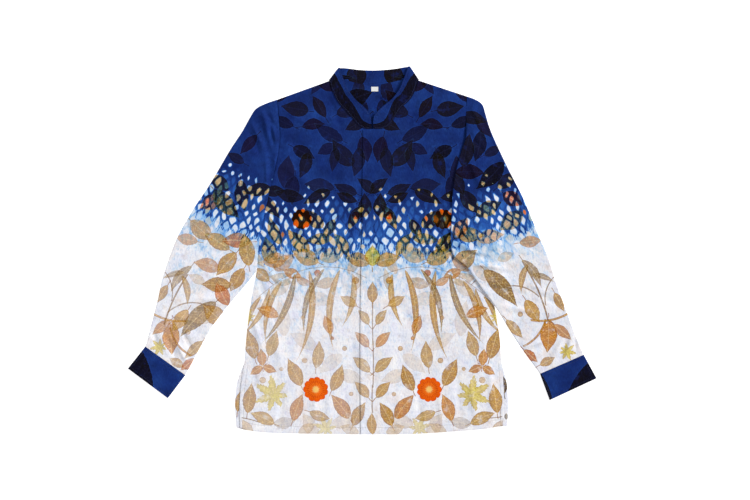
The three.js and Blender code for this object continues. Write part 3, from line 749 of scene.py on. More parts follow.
SLEEVE_PRINT = [
    # share across from the outer edge, share down the sleeve, angle off the sleeve's line, ...
    (0.5, 0.06, 60, 66, 30, 2, 0.4, OCHRE, 0.9), (0.15, 0.13, 20, 56, 24, 0, 0.4, RUST, 0.8),
    (0.78, 0.14, 150, 74, 36, 0, 0.4, TAN, 0.95), (0.42, 0.17, -30, 70, 32, 3, 0.4, UMBER, 0.9),
    (0.1, 0.22, 100, 44, 22, 0, 0.4, TAN, 0.8), (0.64, 0.24, 70, 66, 34, 2, 0.5, RUST, 0.9),
    (0.9, 0.25, 10, 60, 30, 0, 0.5, OCHRE, 0.9), (0.32, 0.29, -64, 84, 38, 3, 0.35, UMBER, 1.0),
    (0.08, 0.335, 110, 54, 30, 0, 0.4, TAN, 0.9), (0.7, 0.34, 20, 66, 34, 0, 0.5, OCHRE, 0.9),
    (0.12, 0.405, 40, 50, 34, 0, 0.4, VIVID, 0.9), (0.45, 0.395, 100, 66, 34, 2, 0.5, TAN, 0.9),
    (0.86, 0.41, 130, 56, 32, 0, 0.5, RUST, 0.9), (0.74, 0.45, 70, 64, 34, 0, 0.4, OCHRE, 0.9),
    (0.24, 0.47, -70, 66, 38, 0, 0.5, OCHRE, 0.8), (0.52, 0.49, 84, 60, 32, 3, 0.4, ORANGE_BROWN, 0.75),
    (0.93, 0.52, 110, 64, 40, 0, 0.5, OCHRE, 0.9), (0.12, 0.565, 80, 50, 26, 0, 0.5, ORANGE_BROWN, 0.8),
    (0.5, 0.575, 95, 40, 22, 0, 0.5, TAN, 0.5), (0.86, 0.6, 40, 60, 30, 0, 0.5, BEIGE, 0.4),
    (0.78, 0.67, 24, 108, 38, 4, 0.4, UMBER, 1.0), (0.30, 0.67, 16, 74, 20, 7, 0.3, UMBER, 0.85),
    (0.42, 0.675, -30, 66, 15, -6, 0.3, TAN, 0.9), (0.16, 0.70, 52, 50, 13, 3, 0.3, UMBER, 0.8),
    (0.34, 0.745, 4, 120, 3.6, 5, STEM, UMBER, 0.9), (0.56, 0.71, 58, 84, 3.0, 12, STEM, UMBER, 0.8),
    (0.14, 0.75, -34, 64, 2.8, -8, STEM, UMBER, 0.8), (0.30, 0.83, 82, 84, 5.0, -8, STEM, OCHRE, 0.9),
    (0.66, 0.86, -58, 76, 4.6, 9, STEM, OCHRE, 0.9), (0.52, 0.79, 14, 58, 30, 0, 0.45, OCHRE, 0.95),
    (0.06, 0.80, 10, 46, 20, 0, 0.4, OCHRE, 0.9), (0.92, 0.82, 24, 54, 22, 0, 0.4, TAN, 0.9),
    (0.20, 0.90, 30, 50, 22, 0, 0.4, ORANGE_BROWN, 0.9),
    (0.48, 0.89, -20, 74, 38, 2, 0.55, ORANGE_BROWN, 1.0),
    (0.94, 0.93, 30, 40, 20, 0, 0.4, RUST, 0.95), (0.72, 0.78, 0, 13, 13, 0, DISC, BEIGE, 0.9),
    (0.30, 0.965, 60, 46, 46, 0, LOBED, LIME, 1.0), (0.72, 0.97, 100, 36, 20, 0, 0.5, OCHRE, 0.85),
]
CUFF_PRINT = {
    # from the middle of the cuff; each cuff's second, narrow leaf is print that also paints the shade at the
    # cuff's inner edge
    "left": [(69, -26, 62, 300, 120, 0, 0.45, UMBER, 1.0), (-48, -24, 110, 90, 16, 0, 0.4, TAN, 1.0)],
    "right": [(-72, 2, 104, 300, 120, 0, 0.45, UMBER, 1.0), (49, -36, 53, 100, 18, 0, 0.4, TAN, 1.0)],
}
COLLAR_PRINT = [
    # place along the band from its middle, height on the band, ...
    (-146, 5, 2, 210, 44, -3, 0.7, UMBER, 1.0), (146, 5, 178, 210, 44, 3, 0.7, UMBER, 1.0),
    (-40, 24, 96, 62, 44, 0, 0.4, OCHRE, 1.0), (42, 22, 84, 62, 46, 0, 0.5, TAN, 1.0),
]


# ---------------------------------------------------------------- nodes
class N:
    """A value in a node tree, with arithmetic."""

    def __init__(self, tree, socket):
        self.tree, self.socket = tree, socket

    def op(self, name, *others, clamp=False):
        node = self.tree.nodes.new("ShaderNodeMath")
        node.operation = name
        node.use_clamp = clamp
        for slot, value in enumerate((self, *others)):
            join(self.tree, value, node.inputs[slot])
        return N(self.tree, node.outputs[0])

    def __add__(self, o): return self.op("ADD", o)
    def __radd__(self, o): return self.op("ADD", o)
    def __sub__(self, o): return self.op("SUBTRACT", o)
    def __rsub__(self, o): return constant(self.tree, o).op("SUBTRACT", self)
    def __mul__(self, o): return self.op("MULTIPLY", o)
    def __rmul__(self, o): return self.op("MULTIPLY", o)
    def __truediv__(self, o): return self.op("DIVIDE", o)
    def __pow__(self, o): return self.op("POWER", o)
    def abs(self): return self.op("ABSOLUTE")
    def sin(self): return self.op("SINE")
    def fract(self): return self.op("FRACT")
    def floor(self): return self.op("FLOOR")
    def min(self, o): return self.op("MINIMUM", o)
    def max(self, o): return self.op("MAXIMUM", o)
    def clip(self): return self.op("ADD", 0.0, clamp=True)
    def over(self, o): return self.op("GREATER_THAN", o)

    def step(self, low, high):
        """0 below low, 1 above high, smooth between."""
        node = self.tree.nodes.new("ShaderNodeMapRange")
        node.interpolation_type = "SMOOTHSTEP"
        join(self.tree, self, node.inputs[0])
        join(self.tree, low, node.inputs[1])
        join(self.tree, high, node.inputs[2])
        return N(self.tree, node.outputs[0])


def constant(tree, value):
    node = tree.nodes.new("ShaderNodeMath")
    node.operation = "ADD"
    node.inputs[0].default_value = value
    node.inputs[1].default_value = 0
    return N(tree, node.outputs[0])


def join(tree, value, socket):
    if isinstance(value, N):
        tree.links.new(value.socket, socket)
    else:
        socket.default_value = value


def attribute(tree, name):
    node = tree.nodes.new("ShaderNodeAttribute")
    node.attribute_name = name
    return node.outputs["Vector"]


def split(tree, vector):
    node = tree.nodes.new("ShaderNodeSeparateXYZ")
    tree.links.new(vector, node.inputs[0])
    return [N(tree, o) for o in node.outputs]


def combine(tree, x, y, z=0.0):
    node = tree.nodes.new("ShaderNodeCombineXYZ")
    for slot, value in enumerate((x, y, z)):
        join(tree, value, node.inputs[slot])
    return node.outputs[0]


def cloud(tree, vector, scale, detail=2.0, rough=0.5):
    """Noise from 0 to 1."""
    node = tree.nodes.new("ShaderNodeTexNoise")
    node.inputs["Scale"].default_value = scale
    node.inputs["Detail"].default_value = detail
    node.inputs["Roughness"].default_value = rough
    tree.links.new(vector, node.inputs["Vector"])
    return N(tree, node.outputs["Fac"])


def blend(tree, share, a, b, way="MIX"):
    """Mixes two colours; each is a socket or an (r, g, b)."""
    node = tree.nodes.new("ShaderNodeMix")
    node.data_type = "RGBA"
    node.blend_type = way
    join(tree, share, node.inputs["Factor"])
    for value, slot in ((a, node.inputs["A"]), (b, node.inputs["B"])):
        if isinstance(value, tuple):
            slot.default_value = (*value, 1)
        else:
            tree.links.new(value, slot)
    return node.outputs["Result"]


def srgb(r, g, b):
    """Linear colour from 0 to 255 screen values."""
    c = np.array([r, g, b]) / 255
    return tuple(float(x) for x in np.where(c <= 0.04045, c / 12.92, ((c + 0.055) / 1.055) ** 2.4))


# The colours of the tones above; the last is the painted vent shade.
LEAF_COLOURS = [
    srgb(208, 164, 82), srgb(202, 148, 34), srgb(214, 140, 44), srgb(208, 114, 46), srgb(240, 96, 12),
    srgb(226, 212, 96), srgb(218, 184, 138), srgb(184, 164, 152), srgb(158, 122, 68), srgb(70, 40, 28),
]
LOBES = 7.0
HALF_TURN, FULL_TURN = 3.14159, 6.2832


def contrast(value, gain):
    """Spreads a noise that keeps near its middle."""
    return ((value - 0.5) * gain + 0.5).clip()


def node_group(name, inputs, outputs):
    """A group with its two end nodes, from the names and kinds of its sockets."""
    tree = bpy.data.node_groups.new(name, "ShaderNodeTree")
    for way, sockets in (("INPUT", inputs), ("OUTPUT", outputs)):
        for socket, kind in sockets.items():
            tree.interface.new_socket(socket, in_out=way, socket_type=f"NodeSocket{kind}")
    return tree, tree.nodes.new("NodeGroupInput"), tree.nodes.new("NodeGroupOutput")


def leaf_group():
    """Node group: from a place within a leaf, its colour, how far it covers and its lighter rim."""
    tree, given, result = node_group(
        "leaf_print", {"Place": "Vector", "Look": "Vector", "Cut": "Vector"},
        {"Colour": "Color", "Cover": "Float", "Rim": "Float"})
    u, v, kind = split(tree, given.outputs["Place"])
    tone, strength, half = split(tree, given.outputs["Look"])
    cut = given.outputs["Cut"]
    jag = (cloud(tree, cut, 0.2, 3.0) - 0.5) * 5.0 / (half + 8.0)
    grain = contrast(cloud(tree, cut, 0.26, 4.0, 0.7), 3.4)
    mottle = contrast(cloud(tree, cut, 0.07, 2.0), 2.8)
    # leaves
    part = kind.fract()
    along = u.clip()
    inside = u.over(0.0) * u.op("LESS_THAN", 1.0)
    wide = ((along ** (part * 0.5 + 0.62)) * HALF_TURN).sin().max(0.0) ** (along * 0.62 + 0.72)
    leaf = (wide * 0.97 + jag - v.abs()) * inside + (inside - 1.0)
    # discs, flowers and lobed leaves
    cx = u * 2.0 - 1.0
    radius = (cx * cx + v * v).op("SQRT")
    turn = v.op("ARCTAN2", cx)
    is_flower = kind.op("COMPARE", FLOWER, 0.1)
    is_lobed = kind.op("COMPARE", LOBED, 0.1)
    petals = (turn * 5.5).op("COSINE").abs() * is_flower
    spikes = 1.0 - ((turn * (LOBES / FULL_TURN) + 0.5).fract() * 2.0 - 1.0).abs()
    shorter = turn.op("COSINE") * 0.16 + 0.84
    teeth = ((radius * 6.5 + (turn * (LOBES / FULL_TURN)).fract() * 2.0).fract() - 0.5) * 0.13
    lobed = (spikes ** 1.05 * 0.58 + 0.4) * shorter + teeth
    plain = petals ** 0.6 * 0.13 + 0.87
    round_ = lobed * is_lobed + plain * (1.0 - is_lobed) - radius + jag * 0.8
    # stems
    stem = (1.0 - v.abs() + jag * 0.7) * inside + (inside - 1.0)
    is_stem = kind.over(STEM - 0.5)
    is_leaf = kind.op("LESS_THAN", 0.99)
    signed = leaf * is_leaf + stem * is_stem + round_ * (1.0 - is_leaf) * (1.0 - is_stem)
    depth_mm = signed * half
    worn = cloud(tree, cut, 0.045, 3.0, 0.6).step(0.56, 0.7) * (1.0 - is_flower)
    thinner = 1.0 - mottle * grain * 0.15 * (1.0 - is_flower)
    cover = depth_mm.step(-0.4, 0.5) * strength * thinner * (1.0 - worn * 0.42)
    rim = depth_mm.step(-2.8, -0.4) - depth_mm.step(-0.2, 0.4)
    # veins, mottling and a darker edge
    midrib = 1.0 - (v.abs() * half).step(0.3, 0.9)
    veins = (u * 13.0 - v.abs() * 2.4 + jag * 0.6).fract()
    veins = ((veins - 0.5).abs() * 2.0).step(0.7, 0.98) * (1.0 - v.abs().clip() * 0.4)
    rays = (turn * (is_flower * 13.0 + is_lobed * (LOBES / 2.0))).op("COSINE").abs() ** 6.0
    ramp = tree.nodes.new("ShaderNodeValToRGB")
    ramp.color_ramp.interpolation = "CONSTANT"
    elements = ramp.color_ramp.elements
    for k, colour in enumerate(LEAF_COLOURS):
        element = elements[k] if k < 2 else elements.new(k * 0.1)
        element.position = k * 0.1
        element.color = (*colour, 1)
    join(tree, tone, ramp.inputs["Fac"])
    own = (tone * 10.0).fract()
    edge = 1.0 - depth_mm.step(0.3, 1.9)
    green = contrast(cloud(tree, cut, 0.11, 2.0), 3.0)
    toned = times(tree, green * is_leaf * 0.5, ramp.outputs["Color"], srgb(206, 214, 176))
    shade = grain * 0.62 + mottle * 0.26 + edge * 0.6 + (1.0 - own) * 0.3 - 0.3
    browned = times(tree, shade.clip() * (1.0 - is_flower * 0.45), toned, srgb(176, 128, 74))
    browned = blend(tree, (0.38 - grain).max(0.0) * (1.0 - is_flower) * 1.5, browned, srgb(244, 218, 156))
    vein_share = (midrib * 0.8 + veins * 0.4) * is_leaf + rays * is_lobed * 0.5
    light = blend(tree, vein_share.clip() * 0.55, browned, srgb(246, 222, 170))
    ragged = radius - petals * 0.07 + jag * 0.5
    ring = 1.0 - (ragged - 0.55).abs().step(0.03, 0.12)
    light = blend(tree, ring * is_flower * 0.5, light, srgb(206, 58, 8))
    light = blend(tree, rays * is_flower * 0.4 * (1.0 - radius.step(0.4, 0.9)), light, srgb(255, 176, 60))
    core = (1.0 - (ragged - rays * 0.1).step(0.12, 0.24)) * is_flower
    light = blend(tree, core * 0.9, light, srgb(250, 206, 120))
    tree.links.new(light, result.inputs["Colour"])
    tree.links.new(cover.clip().socket, result.inputs["Cover"])
    tree.links.new(rim.clip().socket, result.inputs["Rim"])
    return tree


PITCH_ACROSS, PITCH_ALONG = 19.5, 32.0  # of the shibori net
WINDOW_ROUNDNESS = 3.4


def dye_group():
    """Node group: how much indigo the cloth took, from 0 to 1."""
    tree, given, result = node_group(
        "shibori_dye", {"Cut": "Vector"}, {"Dye": "Float", "Warm": "Float", "Orange": "Float"})
    s, t, band = split(tree, given.outputs["Cut"])
    plane = combine(tree, s, t)
    wander_s = cloud(tree, plane, 0.018, 2.0) - 0.5
    wander_t = cloud(tree, combine(tree, s + 400.0, t), 0.018, 2.0) - 0.5
    jitter_s = cloud(tree, combine(tree, s + 700.0, t * 0.6), 0.07, 1.0) - 0.5
    jitter_t = cloud(tree, combine(tree, s, t + 700.0), 0.05, 1.0) - 0.5
    streak = contrast(cloud(tree, combine(tree, s * 0.4, t * 0.07), 1.0, 3.0, 0.6), 2.4)
    blotch = cloud(tree, combine(tree, s, t + 900.0), 0.012, 2.0) - 0.5
    patchy = contrast(cloud(tree, combine(tree, s * 1.3 + 200.0, t), 0.03, 3.0, 0.6), 2.4)
    a = (s + wander_s * 26.0 + jitter_s * 5.0) / PITCH_ACROSS
    c = (t + wander_t * 34.0 + jitter_t * 6.0) / PITCH_ALONG
    one, two = a + c, a - c
    cell = combine(tree, one.floor(), two.floor())
    chance = tree.nodes.new("ShaderNodeTexWhiteNoise")
    chance.noise_dimensions = "2D"
    tree.links.new(cell, chance.inputs["Vector"])
    r1 = N(tree, chance.outputs["Value"])
    r2, r3, r4 = split(tree, chance.outputs["Color"])
    p = (one.fract() - 0.5).abs() * 2.0
    q = (two.fract() - 0.5).abs() * 2.0
    far = (p ** WINDOW_ROUNDNESS + q ** WINDOW_ROUNDNESS) ** (1 / WINDOW_ROUNDNESS)
    far = far + (streak - 0.5) * 0.12
    b = band + blotch * 0.5
    size = b.step(-0.1, 0.8) * 0.2 + 0.45 + (r1 - 0.5) * 0.3
    shown = (b.step(-0.1, 0.25) * 0.8 + b.step(0.5, 1.0) * 0.15 - r2).step(0.0, 0.04)
    window = (1.0 - far.step(size - 0.16, size + 0.17)) * (shown + (1.0 - shown) * b.step(-0.1, 0.4) * 0.2)
    ragged = b + (streak - 0.5) * 0.34 + (patchy - 0.5) * 0.2
    line = 1.0 - ragged.step(0.9, 1.08)
    line = line * (1.0 - (streak * 0.3 + patchy * 0.1) * b.step(0.0, 0.8))
    fading = (1.0 - b.step(0.9, 1.7)) * (patchy * 0.16 + streak * 0.1)
    faint = fading * (0.85 - window * 0.75)
    tinted = (r3.over(0.8) * 0.1 + r3 * 0.05) * (1.0 - b.step(0.9, 1.4))
    dabs = contrast(cloud(tree, combine(tree, s * 0.24 + t * 0.05, t * 0.12), 1.0, 3.0, 0.65), 3.4)
    brushed = (patchy * 0.9 + dabs * 0.6 - 0.75).max(0.0)
    stain = brushed * b.step(0.8, 1.05) * ((1.0 - b.step(1.1, 2.2)) * 0.2 + (1.0 - b.step(1.6, 4.6)) * 0.1)
    pale = tinted + stain * (1.0 - window * 0.65)
    dye = (line * (1.0 - window)).max(faint * b.step(0.6, 1.0)) + pale
    tree.links.new(dye.clip().socket, result.inputs["Dye"])
    creamy = r4.over(0.8) * window * (1.0 - b.step(0.9, 1.2))
    tree.links.new(creamy.clip().socket, result.inputs["Warm"])
    orange = r4.over(0.98) * window * (1.0 - b.step(0.7, 1.0))
    tree.links.new(orange.clip().socket, result.inputs["Orange"])
    return tree


INDIGO = srgb(17, 35, 94)
SKY = srgb(100, 166, 236)
TANNIN = (0.013, 0.011, 0.06)
GROUND = srgb(250, 248, 248)
THREAD_PITCH = 0.9
PUCKER_PITCH = 7.0


def times(tree, share, a, b):
    """Multiplies a colour by another, as far as share says."""
    return blend(tree, share, a, b, "MULTIPLY")


def power_colour(tree, base, amount):
    """What a dye lets through when the cloth took that amount of it."""
    node = tree.nodes.new("ShaderNodeCombineColor")
    for slot, value in enumerate(base):
        join(tree, constant(tree, float(value)) ** amount, node.inputs[slot])
    return node.outputs[0]


def printed_colour(tree, groups, cut, ground):
    """The cloth's colour: stained ground with painted crumple shade, leaf prints, then the indigo over both.
    """
    leaf, dye = groups
    s, t, _ = split(tree, cut)
    plane = combine(tree, s, t)
    cool = contrast(cloud(tree, combine(tree, s * 0.05, t * 0.022), 1.0, 4.0, 0.65), 3.0)
    warm = contrast(cloud(tree, combine(tree, s * 0.03 + 40.0, t * 0.03), 1.0, 3.0, 0.6), 2.8)
    # painted shade: fine bluish-grey strokes that stand in for the shading of small crumples
    crumple_shade = contrast(cloud(tree, combine(tree, s * 0.34, t * 0.12), 1.0, 3.0, 0.65), 3.4)
    colour = blend(tree, cool * 0.55, ground, srgb(212, 222, 246))
    colour = blend(tree, (warm - 0.45).max(0.0) * 1.0, colour, srgb(244, 228, 222))
    colour = blend(tree, (0.4 - warm).max(0.0) * 1.0, colour, srgb(224, 216, 238))
    colour = times(tree, (crumple_shade - 0.45).max(0.0) * 0.8, colour, srgb(206, 210, 230))
    smudge = contrast(cloud(tree, combine(tree, s * 0.05 + 90.0, t * 0.05), 1.0, 4.0, 0.65), 3.2)
    colour = times(tree, (smudge - 0.7).max(0.0) * 0.8, colour, srgb(206, 178, 148))
    cover_all, rim_all = constant(tree, 0.0), constant(tree, 0.0)
    for k in reversed(range(LAYERS)):
        group = tree.nodes.new("ShaderNodeGroup")
        group.node_tree = leaf
        tree.links.new(attribute(tree, f"leaf{k}"), group.inputs["Place"])
        tree.links.new(attribute(tree, f"tone{k}"), group.inputs["Look"])
        tree.links.new(plane, group.inputs["Cut"])
        cover, rim = N(tree, group.outputs["Cover"]), N(tree, group.outputs["Rim"])
        colour = blend(tree, cover, colour, group.outputs["Colour"])
        cover_all = cover_all.max(cover)
        rim_all = (rim_all * (1.0 - cover)).max(rim)
    group = tree.nodes.new("ShaderNodeGroup")
    group.node_tree = dye
    tree.links.new(cut, group.inputs["Cut"])
    amount = N(tree, group.outputs["Dye"])
    colour = blend(tree, N(tree, group.outputs["Warm"]) * 0.65, colour, srgb(226, 192, 142))
    colour = blend(tree, N(tree, group.outputs["Orange"]) * 0.9, colour, srgb(240, 104, 26))
    uneven = contrast(cloud(tree, combine(tree, s * 0.02, t * 0.02 + 70.0), 1.0, 4.0, 0.6), 2.0)
    threads = cloud(tree, combine(tree, s * 0.9, t * 0.14), 1.0, 2.0)
    deep = amount.step(0.6, 0.95)
    amount = amount * (1.0 - (1.0 - deep) * cover_all * 0.75)
    amount = amount * (uneven * 0.14 + (threads - 0.5) * 0.12 + 0.94)
    amount = (amount - rim_all * deep * 0.2).max(0.0)
    full = power_colour(tree, INDIGO, amount)
    thin = power_colour(tree, SKY, amount * 2.4)
    finish = times(tree, 1.0, colour, blend(tree, amount.step(0.4, 0.95), thin, full))
    # the leaves keep a little of their own tone under the deepest blue
    tannin = times(tree, 1.0, colour, TANNIN)
    return blend(tree, cover_all * deep, finish, tannin, "ADD")


def new_material(name):
    """A material, its node tree and its shader."""
    material = bpy.data.materials.new(name)
    material.use_nodes = True
    return material, material.node_tree, material.node_tree.nodes["Principled BSDF"]


def add_bump(tree, shader, relief, strength, distance):
    bump = tree.nodes.new("ShaderNodeBump")
    bump.inputs["Strength"].default_value = strength
    bump.inputs["Distance"].default_value = distance
    join(tree, relief, bump.inputs["Height"])
    tree.links.new(bump.outputs[0], shader.inputs["Normal"])


def cloth_material(name, groups, weave=0.5, sheen=0.06):
    material, tree, shader = new_material(name)
    cut = attribute(tree, "cut")
    s, t, _ = split(tree, cut)
    plane = combine(tree, s, t)
    tree.links.new(printed_colour(tree, groups, cut, GROUND), shader.inputs["Base Color"])
    shader.inputs["Sheen Weight"].default_value = sheen
    shader.inputs["Sheen Roughness"].default_value = 0.4
    shader.inputs["Sheen Tint"].default_value = (0.5, 0.6, 0.9, 1)
    shader.inputs["Specular IOR Level"].default_value = 0.02
    rough = cloud(tree, plane, 0.4, 2.0) * 0.12 + 0.72
    join(tree, rough, shader.inputs["Roughness"])
    # plain weave with slubs, and the dent of the stitch lines
    warp = (s * (FULL_TURN / THREAD_PITCH)).sin() * (t * (FULL_TURN / THREAD_PITCH)).sin()
    slub = cloud(tree, combine(tree, s * 0.1, t * 2.2), 1.0, 2.0)
    slub = slub + cloud(tree, combine(tree, s * 2.2, t * 0.1), 1.0, 2.0)
    crumple = cloud(tree, plane, 0.1, 4.0, 0.6)
    away, place, kind = split(tree, attribute(tree, "sew"))
    dent = (1.0 - away.abs().step(0.2, 1.5)) * kind
    pucker = (place * (FULL_TURN / PUCKER_PITCH)).sin() * (1.0 - away.abs().step(0.5, 6.0)) * kind
    relief = warp * 0.06 * weave + slub * 0.14 + crumple * 2.2 - dent * 0.6 + pucker * 0.2
    add_bump(tree, shader, relief, 0.6, 0.001)
    return material


def plain_material(name, colour, rough=0.7, speck=0.5, sheen=0.2):
    material, tree, shader = new_material(name)
    where = tree.nodes.new("ShaderNodeTexCoord").outputs["Object"]
    grain = cloud(tree, where, 900.0, 2.0)
    darker = tuple(c * (1 - speck) for c in colour)
    tree.links.new(blend(tree, grain, darker, colour), shader.inputs["Base Color"])
    join(tree, grain * 0.2 + (rough - 0.1), shader.inputs["Roughness"])
    shader.inputs["Sheen Weight"].default_value = sheen
    add_bump(tree, shader, grain, 0.3, 0.0003)
    return material


GROUPS = (leaf_group(), dye_group())
CLOTH = cloth_material("printed_cotton", GROUPS)
STIFF = cloth_material("printed_cotton_stiff", GROUPS, weave=0.4, sheen=0.08)
LABEL = plain_material("label_satin", srgb(240, 240, 238), 0.5, 0.06, 0.3)
THREAD_BLUE = plain_material("thread_indigo", srgb(30, 48, 104), 0.6, 0.4)
THREAD_PALE = plain_material("thread_pale", srgb(222, 216, 208), 0.6, 0.2)


# ---------------------------------------------------------------- dye coordinates
# How far each piece's cloth lies from the fronts' in the dye's own plane.
AWAY = {
    "back": 1000, "sleeve_left": 3000, "sleeve_right": 5000, "cuff_left": 7000, "cuff_right": 8000,
    "collar": 9000,
}


def body_cut(plan):
    x, y = plan[:, 0], plan[:, 1]
    band = (BODY_BAND[0] - y) / (BODY_BAND[0] - BODY_BAND[1])
    return np.stack([x, y, band], -1)


def back_cut(plan):
    found = body_cut(plan)
    found[:, 0] += AWAY["back"]
    return found


def sleeve_cut(side):
    up = np.array(SLEEVES[side]["axis"])
    up /= np.linalg.norm(up)
    start, end = SLEEVES[side]["band"]
    shift = AWAY[f"sleeve_{side}"]

    def cut(plan):
        t = plan @ up
        s = plan @ np.array([up[1], -up[0]])
        return np.stack([s + shift, t, (start - t) / (start - end)], -1)

    return cut


def deep_cut(piece):
    """Cloth that took the full dye everywhere."""
    def cut(plan):
        return np.stack([plan[:, 0] + AWAY[piece], plan[:, 1], np.full(len(plan), -1.0)], -1)

    return cut


# ---------------------------------------------------------------- the pieces
def neckline(stations):
    """The neck edge of a front, which runs on under the collar between its ends."""
    p = np.array(stations, float)
    away = p[:, :2] - p[:, 2:4]
    away /= np.linalg.norm(away, axis=1)[:, None]
    n = len(p)
    at_end = np.array([k == 0 or k >= n - 2 for k in range(n)])
    reach = np.where(at_end, STIFF_WALL / 2 - NECK_TUCK, -COLLAR_LAP)[:, None]
    return [tuple(q) for q in p[:, :2] + away * reach]


def sew_near(lines, kind=1.0):
    """Distance from the nearest stitch line, and the place along it."""
    lines = [np.array(line, float) for line in lines]

    def sew(plan):
        best = np.full(len(plan), 60.0)
        where = np.zeros(len(plan))
        for line in lines:
            run = 0.0
            for a, b in zip(line[:-1], line[1:]):
                d = b - a
                length = np.hypot(*d)
                share = np.clip(((plan - a) @ d) / length**2, 0, 1)
                off = plan - a - share[:, None] * d
                away = np.hypot(off[:, 0], off[:, 1])
                sign = np.sign(d[0] * off[:, 1] - d[1] * off[:, 0])
                nearer = away < np.abs(best)
                best = np.where(nearer, away * sign, best)
                where = np.where(nearer, run + share * length, where)
                run += length
        return np.stack([best, where, np.full(len(plan), kind)], -1)

    return sew


def offset_line(curve, distance, low=0.0, high=1.0, count=40):
    """Points a set distance to the left of a curve."""
    s = np.linspace(low, high, count)
    p = curve(s)
    d = np.gradient(p, axis=0)
    d /= np.linalg.norm(d, axis=1)[:, None]
    return p + distance * np.stack([-d[:, 1], d[:, 0]], -1)


def side_edge(vent, seam, armhole):
    """The outer edge of a body panel, from the hem to the shoulder."""
    return boundary((0.2, vent), (0.3, seam), (0.5, armhole))


def front(side_name, centre, lift):
    """One front, the height of its top and its stitch lines."""
    side, hem = SIDES[side_name], HEMS[side_name]
    outer = side_edge(side["vent"], side["seam"], side["armhole"])
    ends = spline([centre(np.array([1.0]))[0], outer(np.array([1.0]))[0]])
    at = patch(spline(hem), ends, centre, outer)
    sign = 1 if side_name == "left" else -1
    lines = [
        offset_line(spline(hem), HEM_FOLD * sign, 0.01, 0.985),
        offset_line(spline(side["vent"]), VENT_FOLD * sign, 0.1, 1.0, 16),
    ]

    def top(x, y):
        from_side = side_reach(side, y) - np.abs(x)
        above_armpit = smooth(y, ARMPIT - 5, ARMPIT + 10)
        seam = np.exp(-((from_side / 2.2) ** 2)) * above_armpit
        shoulder = np.exp(-((below_shoulder(side, x, y) / 3.0) ** 2))
        pucker = 0.12 * np.sin(y / 2.6) * np.exp(-((from_side / 6.0) ** 2)) * above_armpit
        hem_fold = 0.25 * (1 - smooth(y, HEM_FOLD - 0.5, HEM_FOLD + 1.5))
        return front_top(side, x, y, lift) - 0.9 * seam - 0.3 * shoulder + pucker + hem_fold

    obj = panel(
        f"shirt_front_{side_name}", at, FRONT_SIZE, top, CLOTH, BODY_PRINT, body_cut, sew_near(lines))
    return obj, top, lines


fly_edge = boundary((0.66, FLY), (0.34, [FLY[-1], (-1, 655)] + neckline(COLLAR["left"])))
underlap_edge = boundary((0.68, UNDERLAP), (0.32, [UNDERLAP[-1]] + neckline(COLLAR["right"])))
front_left, left_top, left_lines = front("left", fly_edge, over_fly)
front_right, right_top, right_lines = front("right", underlap_edge, zero)


def back():
    """The back, which is flat on the surface."""
    back_neck = [(r[0], r[1] + NECK_TUCK) for r in COLLAR_BACK][::-1]
    left, right = SIDES["left"], SIDES["right"]
    near_right, near_left = (-96, 757.4), (101, 759.6)  # just inside the fronts' shoulder edges
    top = boundary(
        (0.215, [right["armhole"][-1], near_right]), (0.035, [near_right, (-91, 760.2), back_neck[0]]),
        (0.5, back_neck),
        (0.035, [back_neck[-1], (97, 761.1), near_left]), (0.215, [near_left, left["armhole"][-1]]))

    at = patch(
        spline(HEMS["back"]), top, side_edge(right["back_vent"], right["seam"], right["armhole"]),
        side_edge(left["back_vent"], left["seam"], left["back_armhole"]))
    lines = [
        offset_line(spline(HEMS["back"]), HEM_FOLD, 0.02, 0.98),
        offset_line(spline(right["back_vent"]), -VENT_FOLD, 0.1, 0.95, 16),
        offset_line(spline(left["back_vent"]), VENT_FOLD, 0.1, 0.95, 16),
    ]
    marks = [
        # painted shade: two near-black marks inside the left vent, where the folded side seam shades the back
        (281, 108, 98, 42, 20, 0, 0.5, PAINTED_VENT_SHADE, 1.0), (288, 38, 90, 15, 9, 0, 0.5, PAINTED_VENT_SHADE, 0.8),
        # the ochre leaf by the right vent is print; the umber and rust leaves by the neck are print that also
        # paints the shade under the collar
        (-288, 70, 84, 44, 18, 0, 0.5, OCHRE, 0.9), (-30, 722, 24, 70, 40, 3, 0.4, UMBER, 1.0),
        (46, 716, 128, 64, 34, -3, 0.4, RUST, 1.0),
    ]
    turned = [
        (-x, y, 180 - angle, length, width, -bend, *look)
        for x, y, angle, length, width, bend, *look in BODY_PRINT]
    return panel(
        "shirt_back", at, BACK_SIZE, lambda x, y: np.full(np.shape(x), WALL), CLOTH, marks + turned,
        back_cut, sew_near(lines), bottom=zero, share=0.52, grid=BACK_GRID)


back_obj = back()


def straight(a, b):
    """The straight line from a to b, read by its share of length."""
    return lambda s: mix(a, b, np.asarray(s)[..., None])


def moved(curve, offset):
    return lambda s: curve(s) + offset


def sleeve(side_name, start, offset, support, seed, **more):
    """A sleeve whose top edge follows start."""
    outer, inner = SLEEVES[side_name]["outer"], SLEEVES[side_name]["inner"]
    end = straight(np.array(outer[-1], float), np.array(inner[-1], float))
    edges = (moved(curve, np.array(offset)) for curve in (start, end, spline(outer), spline(inner)))

    def relief(x, y):
        height = (
            SLEEVE_FOLD_GAIN * fold_height(SLEEVE_FOLDS[side_name], x, y)
            + SLEEVE_CREASE_GAIN * fold_height(SLEEVE_CREASES[side_name], x, y)
            + SLEEVE_RIPPLE_GAIN * ripple(x, y, seed))
        return np.maximum(height, SLEEVE_SINK)

    return tube(
        f"shirt_sleeve_{side_name}", patch(*edges), SLEEVE_LENGTHS[side_name], WALL, SLEEVE_AIR, support,
        relief, CLOTH, along_sleeve(side_name, SLEEVE_PRINT), sleeve_cut(side_name),
        lambda plan: np.zeros((len(plan), 3)), **more)


